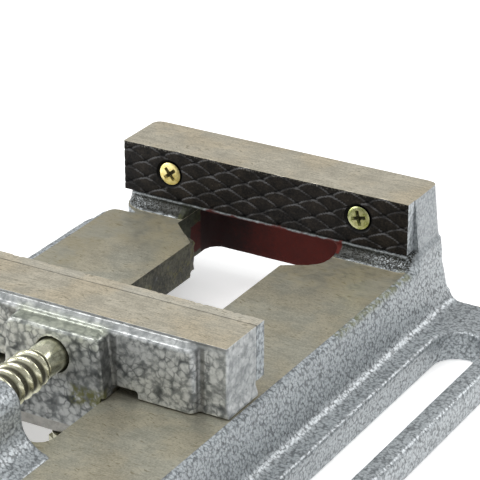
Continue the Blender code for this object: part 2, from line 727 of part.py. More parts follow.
def make_moving_jaw(body, material):
    jaw = piece("moving_jaw_casting", loft(jaw_block_rings()), body, material)
    tongue = prism(tongue_outline(), "X", -HALF_TONGUE, HALF_TONGUE)
    boss = prism(boss_outline(), "Y", BOSS_Y, MOVING_FRONT_Y + PAD_PROUD, rim=BOSS_RIM)
    combine(jaw, "UNION", [loft(pad_rings()), boss, tongue])
    axis = (0, 0, AXIS_HEIGHT)
    low = TONGUE_Z - GAP
    nose_hole_d, pin_hole_d = NOSE_D + 2 * NOSE_HOLE_GAP, PIN_D + 2 * HOLE_GAP
    pin_length = AXIS_HEIGHT + PIN_TOP - TONGUE_Z + 2 * GAP
    cutters = [drilled(BOSS_Y - GAP, NOSE_DEPTH + 3 * GAP, nose_hole_d, "Y", axis, ROUND)]
    for side in (-1, 1):
        cutters.append(relief(side))
        cutters.append(tail_corner(side))
        cutters.append(plate_screw_hole(side, MOVING_SEAT_Y + GAP, -1))
        cutters.append(drilled(low, pin_length, pin_hole_d, "Z", (side * PIN_X, PIN_Y, 0), ROUND_PIN))
    for y in BOLT_YS:
        cutters.append(drilled(low, BOLT_REACH + 2 * GAP, BOLT_D + 2 * HOLE_GAP, "Z", (0, y, 0)))
    combine(jaw, "DIFFERENCE", cutters)
    shade(jaw)


def make_nose_pin(name, body, side, material):
    """Pin that stands in the groove of the screw's nose."""
    profile = chamfered(TONGUE_Z + GAP, AXIS_HEIGHT + PIN_TOP, PIN_D / 2, PIN_CHAMFER)
    shade(piece(name, turned(profile, "Z", (side * PIN_X, PIN_Y, 0), ROUND_PIN), body, material))


# Keeper plate and what holds it


def make_keeper(body, material):
    front = KEEPER_BACK_Y - KEEPER_LENGTH
    outline = rounded_rectangle(KEEPER_WIDTH / 2, front, KEEPER_BACK_Y, KEEPER_CORNER, KEEPER_CORNER)
    bm = prism(outline, "Z", KEEPER_Z - KEEPER_THICK, KEEPER_Z)
    keeper = piece("keeper_plate", bm, body, material)
    hole_d = BOLT_D + 2 * HOLE_GAP
    start = KEEPER_Z - KEEPER_THICK - GAP
    combine(keeper, "DIFFERENCE", [
        drilled(start, KEEPER_THICK + 2 * GAP, hole_d, "Z", (0, y, 0)) for y in BOLT_YS
    ])
    shade(keeper)


def make_spring_washer(name, body, y, material):
    """Split ring under a bolt's head."""
    half_split = WASHER_SPLIT_DEGREES / 2
    bore_r = BOLT_D / 2 + HOLE_GAP
    outline = arc((0, y), WASHER_D / 2, half_split, 360 - half_split, 28)
    outline += arc((0, y), bore_r, 360 - half_split, half_split, 28)
    shade(piece(name, prism(outline, "Z", WASHER_Z - WASHER_THICK, WASHER_Z), body, material))


def make_bolt(name, body, y, material):
    """Hexagon bolt, put in from below."""
    corner_r = BOLT_HEAD_ACROSS / math.sqrt(3)
    hexagon = arc((0, y), corner_r, 0, 360, 6)[:-1]
    bolt = piece(name, prism(hexagon, "Z", BOLT_HEAD_Z - BOLT_HEAD, BOLT_HEAD_Z), body, material)
    radius = BOLT_D / 2
    top = TONGUE_Z + BOLT_REACH
    low = BOLT_HEAD_Z - BOLT_HEAD
    crown = (
        (low, corner_r * CROWN_FLAT),
        (low + corner_r * CROWN_RISE, corner_r * CROWN_CLEAR),
        (BOLT_HEAD_Z + GAP / 2, corner_r * CROWN_CLEAR),
    )
    combine(bolt, "INTERSECT", [turned(crown, "Z", (0, y, 0), ROUND_BOLT)])
    shank = ((BOLT_HEAD_Z - radius, radius), (top - BAR_CHAMFER, radius), (top, radius - BAR_CHAMFER))
    combine(bolt, "UNION", [turned(shank, "Z", (0, y, 0), ROUND_BOLT)])
    shade(bolt)


# Lead screw and tommy bar


def make_lead_screw(body, material):
    """Screw from the tip of its nose to its drilled head. The thread is drawn as its outer cylinder."""
    nose_r, groove_r = NOSE_D / 2, NOSE_GROOVE_D / 2
    thread_r, head_r = THREAD_D / 2, HEAD_D / 2
    groove = (GROOVE_Y + NOSE_GROOVE_LENGTH / 2, GROOVE_Y - NOSE_GROOVE_LENGTH / 2)
    profile = (
        (NOSE_TIP_Y, nose_r - END_CHAMFER / 2),
        (NOSE_TIP_Y - END_CHAMFER / 2, nose_r),
        (groove[0], nose_r),
        (groove[0], groove_r),
        (groove[1], groove_r),
        (groove[1], nose_r),
        (THREAD_Y, nose_r),
        (THREAD_Y - (thread_r - nose_r), thread_r),
        (HEAD_Y, thread_r),
        (HEAD_Y, head_r - END_CHAMFER),
        (HEAD_Y - END_CHAMFER, head_r),
        (TIP_Y + END_CHAMFER, head_r),
        (TIP_Y, head_r - END_CHAMFER),
    )
    screw = piece("lead_screw", turned(profile, "Y", (0, 0, AXIS_HEIGHT)), body, material)
    hole_d = BAR_D + 2 * HOLE_GAP
    length = HEAD_D + 2 * GAP
    hole = drilled(-length / 2, length, hole_d, "X", (0, TOMMY_Y, AXIS_HEIGHT))
    combine(screw, "DIFFERENCE", [hole])
    shade(screw)


def make_tommy_bar(body, material):
    profile = chamfered(-BAR_LENGTH / 2, BAR_LENGTH / 2, BAR_D / 2, BAR_CHAMFER)
    bar = turned(profile, "X", (0, TOMMY_Y, AXIS_HEIGHT), ROUND_BAR)
    shade(piece("tommy_bar", bar, body, material))


def make_knob(name, body, side, material):
    """Ball knob, flat where it meets the bar and bored to fit its end."""
    radius = KNOB_D / 2
    bore_r = BAR_D / 2 + HOLE_GAP
    flat_r = bore_r + (radius - bore_r) / 3
    inner = BAR_LENGTH / 2 - KNOB_DEPTH
    centre = inner + math.sqrt(radius**2 - flat_r**2)
    start = 180 - math.degrees(math.acos((centre - inner) / radius))
    profile = [(inner, bore_r), (inner, flat_r)]
    profile += arc((centre, 0), radius, start, KNOB_TIP_DEGREES, KNOB_RINGS)[1:]
    profile = [(side * along, r) for along, r in profile]
    place = (0, TOMMY_Y, AXIS_HEIGHT)
    knob = piece(name, turned(profile, "X", place, ROUND_BAR), body, material)
    bottom = side * (BAR_LENGTH / 2 + GAP)
    mouth = side * (inner - GAP)
    bore = drilled(mouth, bottom - mouth, 2 * bore_r, "X", place, ROUND_BAR)
    combine(knob, "DIFFERENCE", [bore])
    shade(knob)


# Assembly


def main():
    clear_scene()
    paint = finish("hammered_paint", (0.36, 0.38, 0.38), 0.42, 0.35)
    black = finish("black_steel", (0.03, 0.03, 0.032), 0.45, 0.6)
    zinc = finish("yellow_zinc", (0.70, 0.60, 0.28), 0.30, 1.0)
    bright = finish("bright_zinc", (0.66, 0.65, 0.52), 0.28, 1.0)
    steel = finish("plain_steel", (0.42, 0.42, 0.42), 0.40, 1.0)

    vise = carrier("vise", (0, 0, 0))
    jaw_slide = carrier("jaw_slide", (0, BOSS_Y, AXIS_HEIGHT), vise)
    screw_spin = carrier("screw_spin", (0, TOMMY_Y, AXIS_HEIGHT), jaw_slide)
    bar_slide = carrier("bar_slide", (0, TOMMY_Y, AXIS_HEIGHT), screw_spin)

    make_base(vise, paint)
    make_moving_jaw(jaw_slide, paint)
    for name, body, face_y, direction in (("fixed", vise, 0, 1), ("moving", jaw_slide, MOVING_FACE_Y, -1)):
        make_plate(f"{name}_jaw_plate", body, face_y, direction, black)
        for word, side in (("left", -1), ("right", 1)):
            make_plate_screw(f"{name}_plate_screw_{word}", body, side, face_y, direction, zinc)
    make_keeper(jaw_slide, steel)
    for word, y in zip(("back", "front"), BOLT_YS):
        make_spring_washer(f"keeper_washer_{word}", jaw_slide, y, steel)
        make_bolt(f"keeper_bolt_{word}", jaw_slide, y, steel)
    for word, side in (("left", -1), ("right", 1)):
        make_nose_pin(f"nose_pin_{word}", jaw_slide, side, steel)
    make_lead_screw(screw_spin, bright)
    make_tommy_bar(bar_slide, bright)
    for word, side in (("left", -1), ("right", 1)):
        make_knob(f"bar_knob_{word}", bar_slide, side, bright)


main()
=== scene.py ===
"""Looks of a drill press vise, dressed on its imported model.

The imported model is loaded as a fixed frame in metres. Sizes in this file are millimetres in the vise's own
frame: x = 0 in the middle of the jaw, y = 0 on the face of the fixed jaw plate and growing towards the back,
z = 0 on the machined ways. The castings become remeshed iron with rounded cast edges and flat machined faces,
and the plates, screws and handle are built again in full detail.
"""

import logging
import math
from collections.abc import Iterable, Sequence
from dataclasses import dataclass, field
from enum import Enum
from functools import reduce

import bmesh
import bpy
import numpy as np
from mathutils import Matrix, Vector, noise


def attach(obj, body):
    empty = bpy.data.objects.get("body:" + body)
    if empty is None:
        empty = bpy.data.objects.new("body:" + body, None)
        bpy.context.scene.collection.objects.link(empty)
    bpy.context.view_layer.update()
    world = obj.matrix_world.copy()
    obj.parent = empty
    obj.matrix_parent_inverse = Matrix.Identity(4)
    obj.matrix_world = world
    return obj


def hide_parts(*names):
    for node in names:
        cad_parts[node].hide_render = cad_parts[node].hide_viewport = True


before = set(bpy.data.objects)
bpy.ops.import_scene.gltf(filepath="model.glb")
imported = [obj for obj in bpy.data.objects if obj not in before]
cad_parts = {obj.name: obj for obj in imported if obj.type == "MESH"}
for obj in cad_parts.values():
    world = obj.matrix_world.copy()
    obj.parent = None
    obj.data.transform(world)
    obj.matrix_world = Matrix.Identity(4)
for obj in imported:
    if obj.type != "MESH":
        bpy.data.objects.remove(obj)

MM = 0.001
DATUM = Vector((-5.05, 129.2, 26.0))  # from the vise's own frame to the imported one
RGB = tuple[float, float, float]
Point = tuple[float, float, float]
Box = tuple[Point, Point]  # its lowest and its highest corner
log = logging.getLogger("vise")


class Body(Enum):
    """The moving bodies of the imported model."""

    BASE = "base"
    JAW = "jaw"
    SCREW = "screw"
    HANDLE = "handle"


class Facing(Enum):
    """The way a jaw plate's gripping face looks along y."""

    FRONT = -1
    BACK = 1


# Shader building


class Output:
    """One output of a node, which other nodes can be linked to."""

    def __init__(self, tree: "Tree", socket: bpy.types.NodeSocket) -> None:
        """Keep the socket and its tree."""
        self.tree = tree
        self.socket = socket


class Value(Output):
    """A number that varies over a surface, with arithmetic that adds Math nodes."""

    def math(self, operation: str, *terms: "Value | float") -> "Value":
        """Add a Math node.

        Args:
            operation: The node's operation.
            terms: Its inputs in order.

        Returns:
            The node's result.
        """
        return self.tree.node("ShaderNodeMath", {"operation": operation}, dict(enumerate(terms))).value()

    def __add__(self, other: "Value | float") -> "Value":
        """Sum."""
        return self.math("ADD", self, other)

    __radd__ = __add__

    def __sub__(self, other: "Value | float") -> "Value":
        """Difference."""
        return self.math("SUBTRACT", self, other)

    def __rsub__(self, other: float) -> "Value":
        """Difference from a plain number."""
        return self.math("SUBTRACT", other, self)

    def __mul__(self, other: "Value | float") -> "Value":
        """Product."""
        return self.math("MULTIPLY", self, other)

    __rmul__ = __mul__

    def __pow__(self, other: float) -> "Value":
        """Power."""
        return self.math("POWER", self, other)

    def __abs__(self) -> "Value":
        """Size without the sign."""
        return self.math("ABSOLUTE", self)

    def least(self, other: "Value | float") -> "Value":
        """The smaller of two."""
        return self.math("MINIMUM", self, other)

    def most(self, other: "Value | float") -> "Value":
        """The larger of two."""
        return self.math("MAXIMUM", self, other)

    def step(self, low: float, high: float) -> "Value":
        """Rise smoothly from 0 to 1, or fall where low is above high.

        Args:
            low: Where it is 0.
            high: Where it is 1.

        Returns:
            The clamped smooth step.
        """
        start, end, at_start, at_end = (low, high, 0.0, 1.0) if low < high else (high, low, 1.0, 0.0)
        sockets = {"Value": self, "From Min": start, "From Max": end, "To Min": at_start, "To Max": at_end}
        return self.tree.node("ShaderNodeMapRange", {"interpolation_type": "SMOOTHSTEP"}, sockets).value()

    def blend(self, below: "Value | float", above: "Value | float") -> "Value":
        """Go from one number to another as this value goes from 0 to 1.

        Args:
            below: The result at 0.
            above: The result at 1.

        Returns:
            The mixed number.
        """
        sockets = {0: self, 2: below, 3: above}
        return self.tree.node("ShaderNodeMix", {"data_type": "FLOAT"}, sockets).value()

    def tint(self, below: "Tone | RGB", above: "Tone | RGB") -> "Tone":
        """Go from one colour to another as this value goes from 0 to 1.

        Args:
            below: The colour at 0.
            above: The colour at 1.

        Returns:
            The mixed colour.
        """
        sockets = {0: self, 6: below, 7: above}
        return self.tree.node("ShaderNodeMix", {"data_type": "RGBA"}, sockets).tone(2)


class Tone(Output):
    """A colour that varies over a surface."""

    def times(self, other: "Tone | RGB", share: "Value | float" = 1.0) -> "Tone":
        """Multiply by another colour.

        Args:
            other: The colour to multiply by.
            share: How much of it is felt.

        Returns:
            The darkened colour.
        """
        settings = {"data_type": "RGBA", "blend_type": "MULTIPLY"}
        return self.tree.node("ShaderNodeMix", settings, {0: share, 6: self, 7: other}).tone(2)


class Arrow(Output):
    """A vector that varies over a surface, with arithmetic that adds Vector Math nodes."""

    def math(self, operation: str, *terms: "Arrow | Point") -> "Arrow":
        """Add a Vector Math node.

        Args:
            operation: The node's operation.
            terms: Its inputs in order.

        Returns:
            The node's vector.
        """
        sockets = dict(enumerate(terms))
        return self.tree.node("ShaderNodeVectorMath", {"operation": operation}, sockets).arrow()

    def __add__(self, other: "Arrow | Point") -> "Arrow":
        """Sum."""
        return self.math("ADD", self, other)

    def __sub__(self, other: "Arrow | Point") -> "Arrow":
        """Difference."""
        return self.math("SUBTRACT", self, other)

    def __mul__(self, other: "Arrow | Point") -> "Arrow":
        """Product, axis by axis."""
        return self.math("MULTIPLY", self, other)

    def part(self, axis: str) -> Value:
        """One of its numbers, X, Y or Z."""
        return self.tree.node("ShaderNodeSeparateXYZ", {}, {"Vector": self}).value(axis)

    def within(self, boxes: Iterable[Box], soft: float) -> Value:
        """Mark the places inside any of some boxes.

        Args:
            boxes: Lowest and highest corner of each.
            soft: Half the width of the mask's edge.

        Returns:
            1 inside a box and 0 outside them all.
        """
        masks = []
        for low, high in boxes:
            spans = []
            for axis, start, end in zip("XYZ", low, high):
                along = self.part(axis)
                spans.append(along.step(start - soft, start + soft).least(along.step(end + soft, end - soft)))
            masks.append(reduce(Value.least, spans))
        return reduce(Value.most, masks)


class Made:
    """A node that was added, and the way to its outputs."""

    def __init__(self, tree: "Tree", node: bpy.types.Node) -> None:
        """Keep the node and its tree."""
        self.tree = tree
        self.node = node

    def value(self, output: int | str = 0) -> Value:
        """An output as a number."""
        return Value(self.tree, self.node.outputs[output])

    def tone(self, output: int | str = 0) -> Tone:
        """An output as a colour."""
        return Tone(self.tree, self.node.outputs[output])

    def arrow(self, output: int | str = 0) -> Arrow:
        """An output as a vector."""
        return Arrow(self.tree, self.node.outputs[output])


class Tree:
    """A material's node tree, with the coordinates that every finish uses."""

    def __init__(self, name: str) -> None:
        """Start an empty material.

        Args:
            name: The material's name.
        """
        self.material = bpy.data.materials.new(name)
        self.material.use_nodes = True
        self.nodes = self.material.node_tree.nodes
        self.links = self.material.node_tree.links
        self.nodes.clear()
        around = self.node("ShaderNodeTexCoord")
        scaled = around.arrow("Object") * (1 / MM, 1 / MM, 1 / MM)
        self.place = scaled - tuple(DATUM)
        self.normal = around.arrow("Normal")

    def node(self, kind: str, settings: dict | None = None, sockets: dict | None = None) -> Made:
        """Add one node.

        Args:
            kind: The node's type.
            settings: Its properties, set before its sockets.
            sockets: A value or a link for each named or numbered input.

        Returns:
            The node that was made.
        """
        made = self.nodes.new(kind)
        for name, setting in (settings or {}).items():
            setattr(made, name, setting)
        for name, given in (sockets or {}).items():
            if isinstance(given, Output):
                self.links.new(given.socket, made.inputs[name])
            elif isinstance(given, tuple) and made.inputs[name].type == "RGBA":
                made.inputs[name].default_value = (*given, 1.0)
            else:
                made.inputs[name].default_value = given
        return Made(self, made)

    def noise(self, at: Arrow, size: float, detail: float = 2.0, rough: float = 0.5) -> Made:
        """Add a noise texture.

        Args:
            at: Where it is read, in millimetres.
            size: The rough width of its patches.
            detail: How many finer layers it has.
            rough: How strong they are.

        Returns:
            The texture node.
        """
        sockets = {"Vector": at, "Scale": 1 / size, "Detail": detail, "Roughness": rough}
        return self.node("ShaderNodeTexNoise", {}, sockets)

    def wander(self, at: Arrow, size: float, reach: float) -> Arrow:
        """Push places about, so that what is read there loses its straight lines.

        Args:
            at: The places.
            size: The width of the push's patches.
            reach: How far a place moves at most.

        Returns:
            The moved places.
        """
        push = self.noise(at, size).arrow("Color") - (0.5, 0.5, 0.5)
        return at + push * (2 * reach, 2 * reach, 2 * reach)


@dataclass
class Layer:
    """What one finish gives to the shader, before layers are laid over each other."""

    tone: Tone
    rough: Value | float
    metal: Value | float
    height: Value  # of its relief, in millimetres
    coat: Value | float = 0.0

    def over(self, below: "Layer", mask: Value) -> "Layer":
        """Lay this finish over another.

        Args:
            below: The finish under it.
            mask: 1 where this one covers.

        Returns:
            The two together.
        """

        def mixed(under: Value | float, above: Value | float) -> Value | float:
            """Mix two numbers, or keep a plain one that both share."""
            return above if isinstance(under, float) and under == above else mask.blend(under, above)

        return Layer(
            tone=mask.tint(below.tone, self.tone),
            rough=mixed(below.rough, self.rough),
            metal=mixed(below.metal, self.metal),
            height=mask.blend(below.height, self.height),
            coat=mixed(below.coat, self.coat),
        )

    def finished(self, specular: float = 0.5, glow: float = 0.0) -> bpy.types.Material:
        """Close the material with its shader.

        Args:
            specular: Specular level of the shader.
            glow: White light that the surface gives off by itself.

        Returns:
            The finished material.
        """
        tree = self.tone.tree
        bump = tree.node("ShaderNodeBump", {}, {"Height": self.height, "Distance": MM, "Strength": 1.0})
        sockets = {
            "Base Color": self.tone,
            "Roughness": self.rough,
            "Metallic": self.metal,
            "Normal": bump.arrow("Normal"),
            "Coat Weight": self.coat,
            "Coat Roughness": 0.16,
            "Specular IOR Level": specular,
            "Emission Color": (1.0, 1.0, 1.0),
            "Emission Strength": glow,
        }
        shader = tree.node("ShaderNodeBsdfPrincipled", {}, sockets)
        out = tree.node("ShaderNodeOutputMaterial")
        tree.links.new(shader.node.outputs["BSDF"], out.node.inputs["Surface"])
        return tree.material


# Finishes


@dataclass(frozen=True)
class HammeredPaint:
    """Silver hammered enamel: soft pale dimples with dark specks where they meet."""

    pale: RGB = (0.475, 0.512, 0.532)
    body: RGB = (0.185, 0.204, 0.214)
    speck: RGB = (0.048, 0.053, 0.056)
    cell: float = 0.95
    relief: float = 0.12
    gloss: float = 0.34
    coat: float = 0.35
    specked: float = 0.45  # how dark the specks are
    veined: float = 0.0  # how dark the fine cracks between its dimples are

    def layer(self, tree: Tree, faint_and_shaded: Value | None = None) -> Layer:
        """Work the paint out over the surface.

        Args:
            tree: The material's tree.
            faint_and_shaded: The pattern is fainter, and the paint darker as painted shade, where this is 1.

        Returns:
            The paint's layer.
        """
        place = tree.wander(tree.place, 3.2 * self.cell, 0.5 * self.cell)
        place = tree.wander(place, 0.8 * self.cell, 0.28 * self.cell)
        cells = {"Vector": place, "Scale": 1 / self.cell}
        found = tree.node("ShaderNodeTexVoronoi", {}, cells)
        away = found.value("Distance")
        each = found.arrow("Color").part("X")
        mottle = tree.noise(place, 0.55 * self.cell, 2.0, 0.6).value()
        broken = tree.noise(tree.place, 2.6 * self.cell, 2.0).value()
        gap = away.step(0.52, 0.90)
        speck = gap * (0.20 + 0.80 * broken.step(0.40, 0.60)) * self.specked
        if self.veined:
            edge = tree.node("ShaderNodeTexVoronoi", {"feature": "DISTANCE_TO_EDGE"}, cells).value("Distance")
            vein = edge.step(0.13, 0.03) * broken.step(0.44, 0.60)
            speck = speck.most(vein * self.veined)
        shade = away.step(0.82, 0.22) * 0.46 + mottle.step(0.34, 0.66) * 0.38 + each * 0.16
        # fainter pattern and a darker tone: painted shade
        if faint_and_shaded is not None:
            speck = speck * (1 - 0.9 * faint_and_shaded)
            shade = faint_and_shaded.blend(shade, shade * 0.45 + 0.18)
        tone = shade.step(0.10, 0.90).tint(self.body, self.pale)
        tone = speck.tint(tone, self.speck)
        height = (1 - gap) * self.relief + mottle * (0.6 * self.relief)
        rough = self.gloss + 0.25 * speck + 0.12 * mottle
        return Layer(tone, rough, 0.40, height, (1 - speck) * self.coat)


@dataclass(frozen=True)
class GroundIron:
    """Ground grey iron with fine lines along the jaw, darker on the ways, clouded and a little stained."""

    pale: RGB = (0.76, 0.71, 0.58)
    deep: RGB = (0.47, 0.436, 0.345)
    stain: RGB = (0.16, 0.13, 0.058)
    ways: RGB = (0.80, 0.835, 0.845)  # what the ways keep of that
    rusty: RGB = (1.0, 0.955, 0.89)
    line: float = 0.13
    stained: float = 0.25

    def layer(self, tree: Tree, stain_at: Value | None = None) -> Layer:
        """Work the ground surface out.

        Args:
            tree: The material's tree.
            stain_at: More stain where this is 1.

        Returns:
            The iron's layer.
        """
        lengthwise = tree.place * (0.03, 1.0, 1.0)
        lines = tree.noise(lengthwise, self.line, 2.0, 0.6).value()
        bands = tree.noise(lengthwise, 1.6, 2.0).value()
        cloud = tree.noise(tree.place, 7.0, 6.0, 0.72).value()
        pits = tree.noise(tree.place, 0.6, 3.0, 0.7).value()
        scratch = tree.noise(tree.wander(tree.place, 14.0, 6.0) * (0.16, 0.8, 0.3), 0.35, 1.0).value()
        shade = (lines * 0.30 + bands * 0.08 + cloud * 0.32 + pits * 0.30).step(0.41, 0.58)
        tone = shade.tint(self.deep, self.pale)
        tone = tone.times(self.ways, tree.place.part("Z").step(18.0, 2.0))
        tone = tone.times(self.rusty, tree.noise(tree.place, 14.0, 3.0).value().step(0.40, 0.62))
        nick = scratch.step(0.60, 0.70) * cloud.step(0.42, 0.54)
        tone = (nick * 0.55).tint(tone, self.stain)
        marks = cloud.step(0.60, 0.80) * pits.step(0.45, 0.75) * self.stained
        if stain_at is not None:
            marks = marks.most(stain_at * (cloud.step(0.38, 0.60) * 0.55 + pits.step(0.42, 0.62) * 0.34))
        tone = marks.tint(tone, self.stain)
        rough = 0.34 + 0.16 * lines + 0.25 * marks
        height = 0.010 * lines + 0.006 * bands - 0.02 * pits.step(0.70, 0.80)
        return Layer(tone=tone, rough=rough, metal=0.80 - 0.55 * marks, height=height)


@dataclass(frozen=True)
class RawIron:
    """Dark sand-cast skin with a grainy surface and olive stains, and painted shade deep under the fixed jaw.
    """

    dark: RGB = (0.018, 0.018, 0.013)
    light: RGB = (0.15, 0.148, 0.105)
    olive: RGB = (0.17, 0.155, 0.045)
    pocket_shade: RGB = (0.42, 0.48, 0.40)  # painted shade: what the skin keeps of that under the fixed jaw
    grain: float = 0.9

    def layer(self, tree: Tree) -> Layer:
        """Work the cast skin out.

        Args:
            tree: The material's tree.

        Returns:
            The skin's layer.
        """
        sand = tree.noise(tree.place, self.grain, 4.0, 0.65).value()
        cloud = tree.noise(tree.place, 6.0, 3.0).value()
        tone = (sand * 0.6 + cloud * 0.4).step(0.35, 0.68).tint(self.dark, self.light)
        stain = tree.noise(tree.place, 4.0, 3.0, 0.6).value().step(0.52, 0.64) * sand.step(0.40, 0.60)
        tone = (stain * 0.7).tint(tone, self.olive)
        # painted shade in the pocket under the fixed jaw
        tone = tone.times(self.pocket_shade, tree.place.part("Y").step(-9.0, -4.0))
        return Layer(tone=tone, rough=0.50 + 0.25 * sand, metal=0.25 * cloud, height=0.14 * sand)


@dataclass(frozen=True)
class RedPrimer:
    """Brown-red primer left bare inside the cored pocket, with painted shade darkening it towards its left
    corner.
    """

    bright: RGB = (0.100, 0.010, 0.006)
    dark: RGB = (0.014, 0.002, 0.002)

    def layer(self, tree: Tree) -> Layer:
        """Work the primer out.

        Args:
            tree: The material's tree.

        Returns:
            The primer's layer.
        """
        sand = tree.noise(tree.place, 1.1, 4.0, 0.6).value()
        cloud = tree.noise(tree.place, 8.0, 2.0).value()
        # painted shade: lighter nearer the pocket's mouth, darker towards its left corner
        near = tree.place.part("Y").step(8.6, 7.2) * 0.55
        side = tree.place.part("X").step(-24.0, 4.0).most(near)
        tone = (sand * 0.35 + cloud * 0.25 + side * 0.4).step(0.25, 0.80).tint(self.dark, self.bright)
        return Layer(tone=tone, rough=0.80 + 0.15 * sand, metal=0.0, height=0.10 * sand)


@dataclass(frozen=True)
class BlackOxide:
    """Blackened steel, brownish on what stands proud, with a painted highlight on the teeth's upward-facing
    rims.
    """

    face: float  # y of the face that its relief rises to
    relief: float
    top: float  # height of its upper edge, which is rubbed bare in spots
    deep: RGB = (0.005, 0.0048, 0.005)
    rubbed: RGB = (0.036, 0.029, 0.023)
    # colour of the painted highlight on the teeth's rims
    rim: RGB = (0.072, 0.072, 0.073)
    bare: RGB = (0.46, 0.445, 0.39)

    def layer(self, tree: Tree) -> Layer:
        """Work the oxide out.

        Args:
            tree: The material's tree.

        Returns:
            The oxide's layer.
        """
        cloud = tree.noise(tree.place, 5.0, 3.0).value()
        grit = tree.noise(tree.place, 0.5, 3.0, 0.65).value()
        below = abs(tree.place.part("Y") - self.face)
        wear = cloud.step(0.35, 0.7) * 0.45 + grit.step(0.40, 0.72) * 0.55
        wear = wear * below.step(self.relief, 0.2 * self.relief)
        tone = wear.tint(self.deep, self.rubbed)
        # painted highlight on the rims that face up
        facing_up_highlight = tree.normal.part("Z").step(0.10, 0.42)
        rim = facing_up_highlight * below.step(0.02, 0.12) * below.step(0.95 * self.relief, 0.5 * self.relief)
        tone = (rim * (0.15 + 0.85 * cloud.step(0.42, 0.60))).tint(tone, self.rim)
        edge = tree.place.part("Z").step(self.top - 1.1, self.top - 0.2)
        nicks = (grit.step(0.70, 0.76) * cloud.step(0.45, 0.60)).most(edge * grit.step(0.50, 0.66) * 0.8)
        tone = (nicks * 0.5).tint(tone, self.bare)
        return Layer(tone=tone, rough=0.56 - 0.08 * wear, metal=0.15 + 0.6 * nicks, height=0.06 * grit)


@dataclass(frozen=True)
class Plating:
    """Zinc plating, passivated yellow or left bright, a little uneven."""

    bright: RGB = (0.92, 0.80, 0.36)
    dull: RGB = (0.70, 0.57, 0.19)
    gleam: RGB = (0.96, 0.91, 0.70)
    grime_and_shade: RGB = (0.020, 0.016, 0.006)
    patch: float = 1.6
    gloss: float = 0.22

    def layer(self, tree: Tree, grimed_and_shaded: Value | None = None) -> Layer:
        """Work the plating out.

        Args:
            tree: The material's tree.
            grimed_and_shaded: Grime and painted shade darken the plating where this is 1.

        Returns:
            The plating's layer.
        """
        cloud = tree.noise(tree.place, self.patch, 3.0, 0.6).value()
        grit = tree.noise(tree.place, 0.25, 2.0).value()
        tone = cloud.step(0.35, 0.65).tint(self.dull, self.bright)
        tone = (grit.step(0.52, 0.72) * 0.5).tint(tone, self.gleam)
        rough = self.gloss + 0.14 * cloud
        if grimed_and_shaded is None:
            return Layer(tone=tone, rough=rough, metal=0.95, height=0.006 * grit)
        tone = (grimed_and_shaded * (0.80 + 0.2 * grit)).tint(tone, self.grime_and_shade)
        return Layer(tone=tone, rough=rough + 0.3 * grimed_and_shaded, metal=0.95 - 0.6 * grimed_and_shaded, height=0.006 * grit)


GREEN_ZINC = Plating(bright=(0.80, 0.80, 0.46), dull=(0.50, 0.55, 0.20), gleam=(0.90, 0.92, 0.74))
PALE_ZINC = Plating(
    bright=(0.85, 0.84, 0.65),
    dull=(0.58, 0.57, 0.40),
    gleam=(0.94, 0.93, 0.81),
    patch=4.0,
    gloss=0.18,
)
GREY_STEEL = Plating(
    bright=(0.50, 0.49, 0.46),
    dull=(0.36, 0.35, 0.33),
    gleam=(0.6, 0.6, 0.58),
    patch=3.0,
    gloss=0.34,
)
PALER_IRON = GroundIron(pale=(0.82, 0.78, 0.66), deep=(0.54, 0.51, 0.42), stained=0.2)


